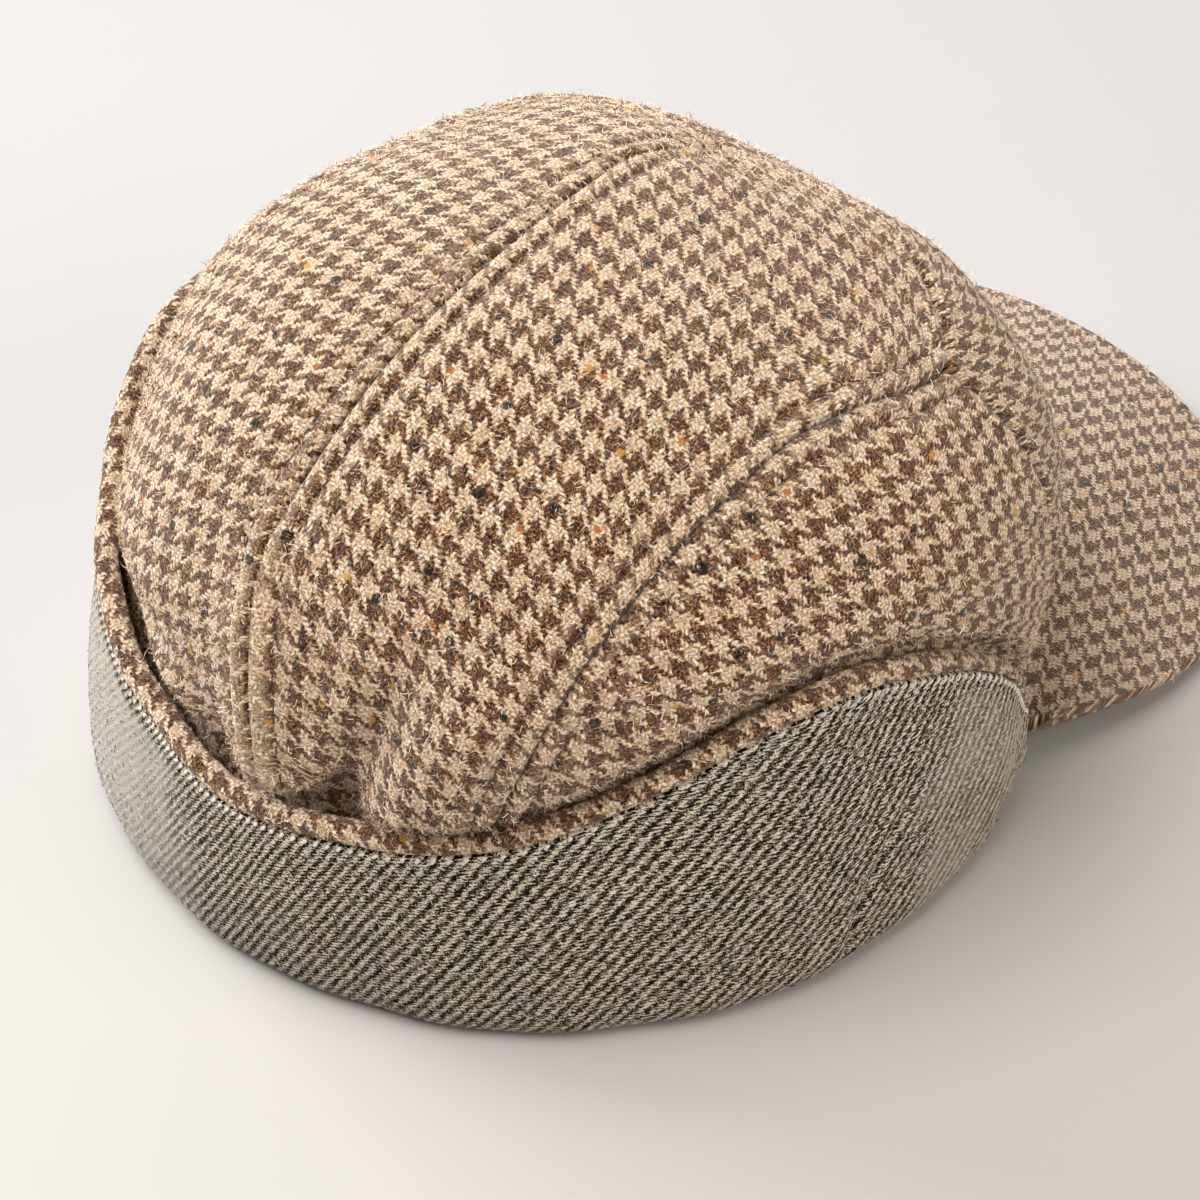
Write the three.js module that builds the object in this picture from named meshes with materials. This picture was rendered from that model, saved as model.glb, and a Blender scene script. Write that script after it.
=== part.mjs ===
// Earflap cap with the flap turned up, lying on a flat surface
// Sizes in millimetres, angles in degrees, +Z up, front of the cap toward -Y, wearer's left toward +X
import * as THREE from "three";

// Cloth
const CLOTH = 2; // thickness of one layer of cloth
const SEAM_GAP = 0.36; // clear distance between two panels at a seam

// Plan of the turned-up flap: outer face, one radius per quarter
const FLAP = { back: 101.5, front: 105.5, left: 95, right: 91 };
const FLAP_END = 113; // angle from the back centre to each end of the flap
const FLAP_BOTTOM_RISE = 5; // lift of the fold at the two ends
const FLAP_SWELL = 1.4; // outward swell of the flap at half height
const FLAP_FLARE = { least: 0.6, most: 2.6, angle: -28, spread: 36 }; // foot of the flap standing out
const FLAP_STAND = { most: 2, angle: -32, spread: 34 }; // flap and rim standing out at the left of the back
const FLAP_LIFT = { most: 6.8, angle: 71, spread: 17 }; // top edge drawn higher on the right

// Height of the flap's top edge by angle from the back centre
const FLAP_TOP = [
  { angle: 0, height: 45 },
  { angle: 20, height: 50 },
  { angle: 33, height: 55 },
  { angle: 48, height: 65 },
  { angle: 60, height: 73.5 },
  { angle: 72, height: 78 },
  { angle: 83, height: 77 },
  { angle: 91, height: 73 },
  { angle: 98, height: 65.5 },
  { angle: 104, height: 56 },
  { angle: 109, height: 45 },
  { angle: 113, height: 32 },
];
const ROLL_HEIGHT = 4.4; // rolled edge of the flap's shell, standing over the lining

// Crown form
const CROWN_INSET = 5.2; // crown wall inside the flap's outer face
const CROWN_TOP = 141;
const CROWN_ROUND = { plan: 1.68, height: 2.97 }; // powers of the meridian curve
const CROWN_BULGE = { back: 0.16, front: -0.17, right: 0.255, left: 0.02, backLeft: 0.08 };
const RIM = { back: 2.6, corner: 18, front: 28 }; // height of the crown's lower edge
const RIM_TURN = { start: 100, corner: 122, end: 180 }; // angles where the rim rises to the front

// Folds and dents of the soft crown: spread before and after the angle, push out (+) or in (-)
const FOLDS = [
  { name: "ridge on the centre seam", angle: 4, before: 5, after: 4.5, low: 44, high: 110, push: 2.6 },
  { name: "dent beside the ridge", angle: 16.5, before: 6, after: 1.8, low: 28, high: 74, push: -6 },
  { name: "swell beside the dent", angle: 21, before: 2.2, after: 13, low: 46, high: 100, push: 3 },
  { name: "hollow behind the roll", angle: -6, before: 4.5, after: 4, low: 28, high: 66, push: -4 },
  { name: "fold along the roll", angle: -15, before: 8, after: 6, low: 46, high: 96, push: 1.2 },
  { name: "left of the back drawn in", angle: -40, before: 24, after: 13, low: 50, high: 124, push: -4 },
  { name: "left side filled out", angle: -90, before: 30, after: 22, low: 30, high: 114, push: 4.5 },
];

// Seams, in the plan of the crown: a to the wearer's right, b to the back, rim at radius 1
const CENTRE_SEAM = { rimAngle: 9, bendStart: 0.46 };
const SIDE_SEAM = { rimAngle: 38, at0: 0.263, slope: 0.143, curve: 0.184 };
const JUNCTION = { a: 0.304, b: -0.074 };
const FRONT_SEAM = { b: -0.25, rimAngle: 114.4 };

// Peak
const PEAK_CORNER = 117; // angle of each corner from the back centre
const PEAK = { halfWidth: 81, flare: 0.36, cornerY: -55, length: 122, roundness: 2 };
const PEAK_THICK = { inner: 4, edge: 2.4, nose: 0.9 };
const PEAK_RISE = { corner: 16.5, tip: 6, arch: 2, rest: 0.8 }; // rest: where the edge touches down
const PEAK_GAP = 0.7; // peak below the crown's rim

// Steps of the meshes
const STEPS = { long: 24, top: 12, side: 10, flap: 50, peak: 36, peakOut: 8 };

const rad = THREE.MathUtils.degToRad;
const lerp = THREE.MathUtils.lerp;

function ease(t) {
  const c = THREE.MathUtils.clamp(t, 0, 1);
  return c * c * (3 - 2 * c);
}

// Smooth bump of a size centred on an angle
function around(angle, bump) {
  return bump.most * Math.exp(-(((angle - bump.angle) / bump.spread) ** 2));
}

// Height of the flap's top edge, straight between the rows of the table, with the lift of the right side
function flapTop(angle) {
  const d = Math.abs(angle);
  const lift = around(angle, FLAP_LIFT);
  const next = FLAP_TOP.findIndex((row) => row.angle >= d);
  if (next < 0) return FLAP_TOP[FLAP_TOP.length - 1].height + lift;
  if (next === 0) return FLAP_TOP[0].height + lift;
  const low = FLAP_TOP[next - 1];
  const high = FLAP_TOP[next];
  return lerp(low.height, high.height, (d - low.angle) / (high.angle - low.angle)) + lift;
}

// Point of the plan ring at an angle from the back centre, moved inwards
function ringPoint(angle, inset) {
  const s = Math.sin(rad(angle));
  const c = Math.cos(rad(angle));
  const out = around(angle, FLAP_STAND) - inset;
  const side = (s > 0 ? FLAP.right : FLAP.left) + out;
  const depth = (c > 0 ? FLAP.back : FLAP.front) + out;
  return new THREE.Vector2(-side * s, depth * c);
}

function rimHeight(angle) {
  const d = Math.abs(angle);
  const toCorner = ease((d - RIM_TURN.start) / (RIM_TURN.corner - RIM_TURN.start));
  const toFront = ease((d - RIM_TURN.corner) / (RIM_TURN.end - RIM_TURN.corner));
  return RIM.back + (RIM.corner - RIM.back) * toCorner + (RIM.front - RIM.corner) * toFront;
}

function bulge(angle) {
  const s = Math.sin(rad(angle));
  const c = Math.cos(rad(angle));
  const right = Math.max(s, 0);
  const left = Math.max(-s, 0);
  const back = Math.max(c, 0);
  const front = Math.max(-c, 0);
  return (
    CROWN_BULGE.back * back * back +
    CROWN_BULGE.front * front * front +
    CROWN_BULGE.right * right * right +
    CROWN_BULGE.left * left * left +
    CROWN_BULGE.backLeft * 2 * back * left
  );
}

// Smaller of two values, rounded where they meet
function softMin(p, q) {
  const width = 0.03;
  const low = Math.min(p, q);
  return low - width * Math.log(Math.exp((low - p) / width) + Math.exp((low - q) / width));
}

function foldPush(angle, z) {
  let push = 0;
  for (const fold of FOLDS) {
    const spread = angle < fold.angle ? fold.before : fold.after;
    const across = Math.exp(-(((angle - fold.angle) / spread) ** 2));
    const up = ease((z - fold.low) / 14) * ease((fold.high - z) / 26);
    push += fold.push * across * up;
  }
  return push;
}

// Outer face of the crown over its plan: (a, b) inside the unit circle
function crownPoint(a, b) {
  const angle = THREE.MathUtils.radToDeg(Math.atan2(a, b));
  const t = THREE.MathUtils.clamp(1 - Math.hypot(a, b), 0, 1);
  const s = (Math.PI / 2) * t ** 1.5;
  const rim = rimHeight(angle);
  const z = rim + (CROWN_TOP - rim) * Math.sin(s) ** (2 / CROWN_ROUND.height);
  const free = Math.cos(s) ** (2 / CROWN_ROUND.plan) + bulge(angle) * Math.sin(2 * s);
  const aboveFlap = ease((z - flapTop(angle) - 4) / 16);
  const pastFlap = ease((Math.abs(angle) - FLAP_END + 1) / 14);
  const held = 1 + 0.45 * aboveFlap + 0.4 * pastFlap;
  const ring = ringPoint(angle, CROWN_INSET);
  const scale = softMin(free, held) + foldPush(angle, z) / ring.length();
  return new THREE.Vector3(ring.x * scale, ring.y * scale, z);
}

// Unit normal of the crown's outer face, taken just inside the rim where the plan ends
function crownNormal(a, b) {
  const step = 0.004;
  const radius = Math.hypot(a, b);
  const keep = radius > 1 - 2 * step ? (1 - 2 * step) / radius : 1;
  const p = a * keep;
  const q = b * keep;
  const alongA = crownPoint(p + step, q).sub(crownPoint(p - step, q));
  const alongB = crownPoint(p, q + step).sub(crownPoint(p, q - step));
  return alongB.cross(alongA).normalize();
}

// Seam curves in the plan of the crown, each over a parameter from 0 to 1
function rimAt(angle) {
  return new THREE.Vector2(Math.sin(rad(angle)), Math.cos(rad(angle)));
}

function centreSeam(t) {
  const rim = rimAt(CENTRE_SEAM.rimAngle);
  const b = lerp(rim.y, FRONT_SEAM.b, t);
  const bend = (b - CENTRE_SEAM.bendStart) / (rim.y - CENTRE_SEAM.bendStart);
  return new THREE.Vector2(rim.x * Math.max(bend, 0), b);
}

function sideSeam(t, hand) {
  const rim = rimAt(SIDE_SEAM.rimAngle);
  const b = lerp(rim.y, JUNCTION.b, t);
  const a = SIDE_SEAM.at0 + SIDE_SEAM.slope * b + SIDE_SEAM.curve * b * b;
  const toRim = ease((b - 0.6) / (rim.y - 0.6));
  const toJunction = ease((0.1 - b) / (0.1 - JUNCTION.b));
  const fitted = lerp(lerp(a, rim.x, toRim * toRim), JUNCTION.a, toJunction);
  return new THREE.Vector2(hand * fitted, b);
}

function frontSeam(t, hand) {
  const a = JUNCTION.a * t;
  const b = lerp(FRONT_SEAM.b, JUNCTION.b, t * t);
  return new THREE.Vector2(hand * a, b);
}

function frontSideSeam(t, hand) {
  const rim = rimAt(FRONT_SEAM.rimAngle);
  return new THREE.Vector2(hand * lerp(JUNCTION.a, rim.x, t), lerp(JUNCTION.b, rim.y, t));
}

function rimArc(from, to) {
  return (t) => rimAt(lerp(from, to, t));
}

// Plan points of a four-sided patch filled in between its edge curves
function patch(edges, uSteps, vSteps) {
  const { start, end, left, right } = edges; // start and end run over u, left and right over v
  const rows = [];
  for (let i = 0; i <= uSteps; i++) {
    const u = i / uSteps;
    const row = [];
    for (let j = 0; j <= vSteps; j++) {
      const v = j / vSteps;
      const across = start(u).multiplyScalar(1 - v).add(end(u).multiplyScalar(v));
      const along = left(v).multiplyScalar(1 - u).add(right(v).multiplyScalar(u));
      const corners = start(0).multiplyScalar((1 - u) * (1 - v));
      corners.add(start(1).multiplyScalar(u * (1 - v)));
      corners.add(end(0).multiplyScalar((1 - u) * v));
      corners.add(end(1).multiplyScalar(u * v));
      row.push(across.add(along).sub(corners));
    }
    rows.push(row);
  }
  return rows;
}

// Indexed geometry whose faces point out
function solidGeometry(points, triangles) {
  let volume = 0;
  for (const [i, j, k] of triangles) {
    volume += points[i].dot(points[j].clone().cross(points[k]));
  }
  const index = triangles.flatMap(([i, j, k]) => (volume > 0 ? [i, j, k] : [i, k, j]));
  const geometry = new THREE.BufferGeometry();
  geometry.setFromPoints(points);
  geometry.setIndex(index);
  geometry.computeVertexNormals();
  return geometry;
}

// Closed cloth panel over a patch of the crown; seams names the edges that stand off a neighbour
function panelGeometry(rows, seams) {
  const uLast = rows.length - 1;
  const vLast = rows[0].length - 1;
  const outer = rows.map((row) => row.map((p) => crownPoint(p.x, p.y)));
  const normal = rows.map((row) => row.map((p) => crownNormal(p.x, p.y)));
  const inner = outer.map((row, i) =>
    row.map((p, j) => p.clone().addScaledVector(normal[i][j], -CLOTH)),
  );
  const pull = (skin, i, j, iNext, jNext) => {
    const inwards = skin[iNext][jNext].clone().sub(skin[i][j]);
    if (inwards.lengthSq() > 1e-6) skin[i][j].addScaledVector(inwards.normalize(), SEAM_GAP / 2);
  };
  for (const skin of [outer, inner]) {
    for (let i = 0; i <= uLast; i++) {
      if (seams.start) pull(skin, i, 0, i, 1);
      if (seams.end) pull(skin, i, vLast, i, vLast - 1);
    }
    for (let j = 0; j <= vLast; j++) {
      if (seams.left) pull(skin, 0, j, 1, j);
      if (seams.right) pull(skin, uLast, j, uLast - 1, j);
    }
  }
  const points = [];
  const ids = new Map();
  const idOf = (p) => {
    const key = p.toArray().map((x) => Math.round(x * 200)).join();
    if (!ids.has(key)) {
      ids.set(key, points.length);
      points.push(p);
    }
    return ids.get(key);
  };
  const out = outer.map((row) => row.map(idOf));
  const inn = inner.map((row) => row.map(idOf));
  const triangles = [];
  const add = (i, j, k) => {
    if (i !== j && j !== k && k !== i) triangles.push([i, j, k]);
  };
  const quad = (i, j, k, l) => {
    add(i, j, k);
    add(i, k, l);
  };
  for (let i = 0; i < uLast; i++) {
    for (let j = 0; j < vLast; j++) {
      quad(out[i][j], out[i + 1][j], out[i + 1][j + 1], out[i][j + 1]);
      quad(inn[i][j], inn[i][j + 1], inn[i + 1][j + 1], inn[i + 1][j]);
    }
    quad(out[i][0], inn[i][0], inn[i + 1][0], out[i + 1][0]);
    quad(out[i][vLast], out[i + 1][vLast], inn[i + 1][vLast], inn[i][vLast]);
  }
  for (let j = 0; j < vLast; j++) {
    quad(out[0][j], out[0][j + 1], inn[0][j + 1], inn[0][j]);
    quad(out[uLast][j], inn[uLast][j], inn[uLast][j + 1], out[uLast][j + 1]);
  }
  return solidGeometry(points, triangles);
}

// Closed solid through a run of equal closed sections; point i of a section faces its point count - 1 - i
function sweepGeometry(sections) {
  const count = sections[0].length;
  const last = (sections.length - 1) * count;
  const points = sections.flat();
  const triangles = [];
  for (let i = 0; i + 1 < sections.length; i++) {
    for (let j = 0; j < count; j++) {
      const k = (j + 1) % count;
      const p = i * count;
      const q = p + count;
      triangles.push([p + j, q + j, q + k], [p + j, q + k, p + k]);
    }
  }
  const cap = (i, j, k) => {
    triangles.push([i, j, k], [last + i, last + k, last + j]);
  };
  for (let i = 0; 2 * i + 2 < count; i++) {
    const facing = count - 1 - i;
    cap(i, i + 1, facing);
    if (i + 1 < facing - 1) cap(i + 1, facing - 1, facing);
  }
  return solidGeometry(points, triangles);
}

// Foot of the flap's fold, lifted a little at the two ends
function foldBase(angle) {
  return FLAP_BOTTOM_RISE * ease((Math.abs(angle) - 102) / (FLAP_END - 102)) ** 2;
}

// Height up the flap's wall, from the fold (0) to the top of the lining (1)
function wallHeight(angle, share) {
  return lerp(foldBase(angle) + 12, flapTop(angle) - ROLL_HEIGHT - 0.3, share);
}

// Section of the flap's lining: inset from the outer face and height, with the fold it rests on
function liningSection(angle) {
  const base = foldBase(angle);
  const at = (inset, height) => new THREE.Vector2(inset, height);
  const wall = (inset, share) => at(inset, wallHeight(angle, share));
  return [
    wall(0, 1),
    wall(0, 0.75),
    wall(0, 0.5),
    wall(0, 0.25),
    wall(0, 0),
    at(0.5, base + 6),
    at(1.8, base + 2.4),
    at(3.8, base + 0.6),
    at(6, base),
    at(10, base),
    at(11.8, base + 0.8),
    at(12.5, base + 3),
    at(12.4, base + 11),
    at(10.5, base + 11),
    at(10.4, base + 3.4),
    at(10.2, base + 2.4),
    at(9.6, base + 2),
    at(6.2, base + 2),
    at(4.2, base + 2.8),
    at(3.2, base + 4),
    at(2.6, base + 6),
    wall(2, 0),
    wall(2, 0.25),
    wall(2, 0.5),
    wall(2, 0.75),
    wall(2, 1),
  ];
}

// Section of the flap's shell: one layer against the lining, rolled over at the top
function shellSection(angle) {
  const top = flapTop(angle);
  const at = (inset, below) => new THREE.Vector2(inset, top - below);
  const wall = (inset, share) => new THREE.Vector2(inset, wallHeight(angle, share));
  return [
    wall(2.3, 0),
    wall(2.3, 0.25),
    wall(2.3, 0.5),
    wall(2.3, 0.75),
    wall(2.3, 1),
    at(2.3, 4.3),
    at(0.4, 4.2),
    at(-0.5, 3.5),
    at(-0.7, 2.3),
    at(-0.2, 1),
    at(1.1, 0.2),
    at(2.5, 0),
    at(3.7, 0.6),
    at(4.3, 1.8),
    wall(4.3, 1),
    wall(4.3, 0.75),
    wall(4.3, 0.5),
    wall(4.3, 0.25),
    wall(4.3, 0),
  ];
}

// How far the flap's wall stands outside its plan, by share of its height
function wallOut(angle, share) {
  const flare = FLAP_FLARE.least + around(angle, FLAP_FLARE);
  return FLAP_SWELL * Math.sin(Math.PI * share) ** 2 + flare * (1 - share) ** 1.3;
}

function flapGeometry(sectionOf) {
  const angles = [];
  for (let i = 0; i <= STEPS.flap; i++) {
    const u = (2 * i) / STEPS.flap - 1;
    angles.push(FLAP_END * (u + 0.06 * Math.sin(Math.PI * u)));
  }
  const shapes = angles.map(sectionOf);
  const sections = shapes.map((shape, i) =>
    shape.map((p) => {
      const share = THREE.MathUtils.clamp(p.y / flapTop(angles[i]), 0, 1);
      const out = p.x < 5 ? wallOut(angles[i], share) : 0;
      const plan = ringPoint(angles[i], p.x - out);
      return new THREE.Vector3(plan.x, plan.y, p.y);
    }),
  );
  return sweepGeometry(sections);
}

// Peak: from under the crown's rim out to a rounded front edge that touches the surface
function peakSection(w) {
  const turn = (w * Math.PI) / 2;
  const power = 2 / PEAK.roundness;
  const out = Math.max(Math.cos(turn), 0) ** power;
  const side = Math.sign(w) * Math.abs(Math.sin(turn)) ** power;
  const angle = (180 - (180 - PEAK_CORNER) * Math.abs(side)) * (side > 0 ? -1 : 1);
  const rim = rimAt(angle);
  const inside = crownPoint(rim.x, rim.y).addScaledVector(crownNormal(rim.x, rim.y), -CLOTH);
  inside.z = rimHeight(angle) - PEAK_GAP;
  const toCorner = Math.max(1 - out / PEAK_RISE.rest, 0);
  const toTip = ease((out - PEAK_RISE.rest) / (1 - PEAK_RISE.rest));
  const edge = new THREE.Vector3(
    PEAK.halfWidth * side * (1 + PEAK.flare * out),
    PEAK.cornerY - PEAK.length * out,
    PEAK_THICK.edge + PEAK_RISE.corner * toCorner ** 2 + PEAK_RISE.tip * toTip,
  );
  const top = [];
  const under = [];
  for (let j = 0; j <= STEPS.peakOut; j++) {
    const v = j / STEPS.peakOut;
    const p = inside.clone().lerp(edge, v);
    p.z += PEAK_RISE.arch * Math.sin(Math.PI * v) * v * out;
    const thick = lerp(PEAK_THICK.inner, PEAK_THICK.edge, v ** 6);
    top.push(p);
    under.unshift(p.clone().setZ(p.z - thick));
  }
  const outwards = edge.clone().sub(inside).setZ(0).normalize();
  const nose = edge.clone().addScaledVector(outwards, PEAK_THICK.nose);
  nose.z -= PEAK_THICK.edge / 2;
  return [...top, nose, ...under];
}

function peakGeometry() {
  const sections = [];
  for (let i = 0; i <= STEPS.peak; i++) sections.push(peakSection((2 * i) / STEPS.peak - 1));
  return sweepGeometry(sections);
}

function topPanel(hand) {
  const edges = {
    start: centreSeam,
    end: (t) => sideSeam(t, hand),
    left: rimArc(CENTRE_SEAM.rimAngle, hand * SIDE_SEAM.rimAngle),
    right: (t) => frontSeam(t, hand),
  };
  const rows = patch(edges, STEPS.long, STEPS.top);
  return panelGeometry(rows, { start: true, end: true, right: true });
}

function sidePanel(hand) {
  const back = rimAt(hand * SIDE_SEAM.rimAngle);
  const edges = {
    start: (t) => sideSeam(t, hand),
    end: rimArc(hand * SIDE_SEAM.rimAngle, hand * FRONT_SEAM.rimAngle),
    left: () => back.clone(),
    right: (t) => frontSideSeam(t, hand),
  };
  const rows = patch(edges, STEPS.long, STEPS.side);
  return panelGeometry(rows, { start: true, right: true });
}

function frontPanel() {
  const edges = {
    start: (t) => (t < 0.5 ? frontSeam(1 - 2 * t, 1) : frontSeam(2 * t - 1, -1)),
    end: rimArc(FRONT_SEAM.rimAngle, 360 - FRONT_SEAM.rimAngle),
    left: (t) => frontSideSeam(t, 1),
    right: (t) => frontSideSeam(t, -1),
  };
  const rows = patch(edges, 2 * STEPS.top, STEPS.side);
  return panelGeometry(rows, { start: true, left: true, right: true });
}

const TWEED = { color: 0xa48a72, roughness: 0.95, metalness: 0 };
const TWILL = { color: 0x84857b, roughness: 0.95, metalness: 0 };

const pieces = [
  { name: "crown_top_right", geometry: topPanel(1), look: TWEED },
  { name: "crown_top_left", geometry: topPanel(-1), look: TWEED },
  { name: "crown_side_right", geometry: sidePanel(1), look: TWEED },
  { name: "crown_side_left", geometry: sidePanel(-1), look: TWEED },
  { name: "crown_front", geometry: frontPanel(), look: TWEED },
  { name: "peak", geometry: peakGeometry(), look: TWEED },
  { name: "earflap_lining", geometry: flapGeometry(liningSection), look: TWILL },
  { name: "earflap_shell", geometry: flapGeometry(shellSection), look: TWEED },
];

const cap = new THREE.Group();
cap.name = "earflap_cap";
for (const piece of pieces) {
  const mesh = new THREE.Mesh(piece.geometry, new THREE.MeshStandardMaterial(piece.look));
  mesh.name = piece.name;
  cap.add(mesh);
}

// Origin at the bottom centre of the whole cap
const box = new THREE.Box3().setFromObject(cap);
const centre = box.getCenter(new THREE.Vector3());
for (const mesh of cap.children) mesh.geometry.translate(-centre.x, -centre.y, -box.min.z);

export default cap;
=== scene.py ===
# Earflap cap in houndstooth tweed, lying on a pale floor with its grey twill earflap turned up
import math
from functools import partialmethod
from types import SimpleNamespace as Named

import bpy
import numpy as np
from mathutils import Matrix, Vector
from mathutils.kdtree import KDTree


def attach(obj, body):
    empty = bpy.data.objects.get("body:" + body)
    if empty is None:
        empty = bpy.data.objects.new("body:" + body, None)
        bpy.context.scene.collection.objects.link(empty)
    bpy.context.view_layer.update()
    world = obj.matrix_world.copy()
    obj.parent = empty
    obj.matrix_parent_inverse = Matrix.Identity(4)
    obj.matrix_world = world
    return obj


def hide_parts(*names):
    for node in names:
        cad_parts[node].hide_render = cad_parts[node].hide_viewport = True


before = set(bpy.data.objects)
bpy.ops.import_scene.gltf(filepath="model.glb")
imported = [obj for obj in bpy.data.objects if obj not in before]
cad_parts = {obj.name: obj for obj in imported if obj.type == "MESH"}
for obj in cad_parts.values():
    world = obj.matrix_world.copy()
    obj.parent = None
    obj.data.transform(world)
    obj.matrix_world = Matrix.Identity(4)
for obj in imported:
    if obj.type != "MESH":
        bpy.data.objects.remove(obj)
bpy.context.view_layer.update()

MM = 0.001

# Driving sizes of the solids, in millimetres and degrees
# Angles run from the back centre to the wearer's right
CLOTH = 2.0
FLAP = Named(back=101.5, front=105.5, left=95.0, right=91.0)
FLAP_END = 113.0
FLAP_BOTTOM_RISE = 5.0
FLAP_RISE_START = 102.0
FLAP_SWELL = 1.4
FLAP_FLARE = Named(least=0.6, most=2.6, angle=-28.0, spread=36.0)
FLAP_STAND = Named(most=2.0, angle=-32.0, spread=34.0)
FLAP_LIFT = Named(most=6.8, angle=71.0, spread=17.0)
FLAP_WALL = Named(foot=12.0, under_roll=0.3)
ROLL_HEIGHT = 4.4
# Waves round the flap: height, turn per degree, start, turn over the wall
FLAP_WAVES = [(0.3, 0.19, 1, 0), (0.2, 0.41, 2, 2)]

# Height of the flap's top edge: angle, height
FLAP_TOP = [
    (0, 45), (20, 50), (33, 55), (48, 65), (60, 73.5), (72, 78),
    (83, 77), (91, 73), (98, 65.5), (104, 56), (109, 45), (113, 32),
]

CROWN_INSET = 5.2
CROWN_TOP = 141.0
CROWN_ROUND = Named(plan=1.68, height=2.97)
CROWN_HELD = Named(flare=0.45, flare_rise=12.0, front=0.4, front_rise=14.0)
CROWN_BULGE = Named(back=0.16, front=-0.17, right=0.255, left=0.02, back_left=0.08)
RIM = Named(back=2.6, corner=18.0, front=28.0)
RIM_TURN = Named(start=100.0, corner=122.0, end=180.0)

# Folds of the soft crown: angle at fold level, lean per millimetre up, spread before and after it,
# low, high, fade under high, push outwards
FOLD_LEVEL = 50.0
FOLD_RISE = 14.0
FOLDS = [
    (6, -0.12, 4.5, 4.5, 44, 110, 26, 2.2),  # ridge on the centre seam
    (15.5, 0.2, 3.0, 3.2, 28, 104, 38, -4.4),  # dent beside the ridge
    (24, 0.27, 7.5, 14, 40, 112, 34, 4.8),  # swell beside the dent
    (-2.5, 0, 4.0, 3.2, 28, 68, 26, -4.4),  # hollow behind the roll
    (-15, 0, 8, 6, 46, 96, 26, 1.2),  # fold along the roll
    (-40, 0, 24, 13, 50, 124, 26, -4.0),  # left of the back drawn in
    (-22, 0, 10, 11, 44, 80, 18, -6.2),  # left back drawn in above the roll
    (-60, 0, 18, 22, 40, 104, 34, -3.4),  # left side drawn in above the roll
    (-90, 0, 30, 22, 30, 114, 26, 4.5),  # left side filled out
]
# Cloth of the crown's left back folded out along the roll
ROLL_FOLD = Named(
    above=10.0, width=3.4, push=2.4, tuck=3.6, tuck_fade=8.0,
    begin=-4.0, end=-42.0, rise=12.0, fade=20.0,
)
# Height over the roll at which the crown swells out: everywhere, more at the left back, more in the dent
ROLL_GAP = Named(least=2.5, left=4.0, most=7.0, angle=15.5, spread=3.0)

CENTRE_SEAM = Named(rim_angle=9.0, bend_start=0.46)
SIDE_SEAM = Named(rim_angle=38.0, at0=0.263, slope=0.143, curve=0.184, ends=(0.6, 0.1))
JUNCTION = (0.304, -0.074)
FRONT_SEAM = Named(b=-0.25, rim_angle=114.4)

PEAK_CORNER = 117.0
PEAK = Named(half_width=81.0, flare=0.36, corner_y=-55.0, length=122.0)
PEAK_THICK = Named(inner=4.0, edge=2.4, nose=0.9)
PEAK_RISE = Named(corner=16.5, tip=6.0, arch=2.0, rest=0.8)
PEAK_GAP = 0.7
PEAK_GRID = (130, 50)
PEAK_NOSE_TURN = (-60, -25, 25, 60)
# Painted shade all over the peak, given through the seams' attribute, so its whole cloth looks deeper
PEAK_PAINTED_SHADE = -0.26

# Seam relief: groove at the seam, welt over the seam allowance, pulled-in line of topstitching
SEAM = Named(groove=1.0, groove_width=0.5, welt=0.55, welt_at=2.3, welt_width=1.2)
STITCH = Named(
    at=4.6, pitch=3.3, length=2.4, radius=0.18, rise=0.02, dip=0.4,
    sink=0.8, width=0.55, tug=0.3, pillow=0.35, pillow_at=4, pillow_width=3,
)
# The fold's mark pales the centre seam's raised fold: a painted highlight
SEAM_FOLD = Named(height=1.6, width=4.4, low=38, high=112, rise=12, fade=30, mark=0.95)

# Beside a seam; the first row is for every seam, the others for topstitched ones
# Dark grooves, painted shade with some dirt, and pale crests, a painted highlight on the raised welts:
# distance, width, tone
SEAM_DIRT_AND_PAINTED_LIGHT = [(0, 0.5, -1), (SEAM.welt_at, 0.9, 0.5), (STITCH.at, 0.5, -0.6), (STITCH.at + 1.9, 0.9, 0.4)]
# Bare lines in the nap: distance, width, share of the nap taken away
SEAM_BARE = [(0, 0.8, 0.9), (STITCH.at, 0.7, 0.7)]
MARK_RIPPLE = Named(least=0.7, more=0.3, size=8, seed=80)

# Unevenness of the crown: height, length, step of the seed
UNEVEN = [(0.4, 34, 0), (0.14, 12, 40)]

# Grid of each kind of crown panel, along and across, and how far its steps draw together at the ends
PANEL_GRID = {"top": (230, 63), "side": (200, 52), "front": (140, 50)}
PANEL_CLUSTER = (0.3, 0.82)
SEAM_STEPS = 900

# Sections of the flap's layers: insets of the wall's two faces, shares of the wall's height, number of
# sections, column up to or from which nap stands, column that the weave is true to
LINING = Named(insets=(0, 2), shares=(1, 0.75, 0.5, 0.25, 0), angles=330, seen=44)
SHELL = Named(insets=(2.3, 4.3), shares=(0, 0.5, 1), angles=300, run=-12, seen=12)
# Rows after the wall, of the foot from the fold's base and of the roll from the top edge: inset, height
FOOT_OUTER = [(0.5, 6), (1.8, 2.4), (3.8, 0.6), (6, 0), (10, 0), (11.8, 0.8), (12.5, 3), (12.4, 11)]
FOOT_INNER = [(2.6, 6), (3.2, 4), (4.2, 2.8), (6.2, 2), (9.6, 2), (10.2, 2.4), (10.4, 3.4), (10.5, 11)]
ROLL_OUTER = [(2.3, -4.3), (0.4, -4.2), (-0.5, -3.5), (-0.7, -2.3), (-0.2, -1)]
ROLL_OUTER += [(1.1, -0.2), (2.5, 0), (3.7, -0.6), (4.3, -1.8)]
ROLL_INNER = [(4.1, -3.6)] * 7 + [(4.2, -2.8), (4.3, -2)]
FOOT_INSET = 5
FLAP_CLUSTER = 0.06

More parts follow.
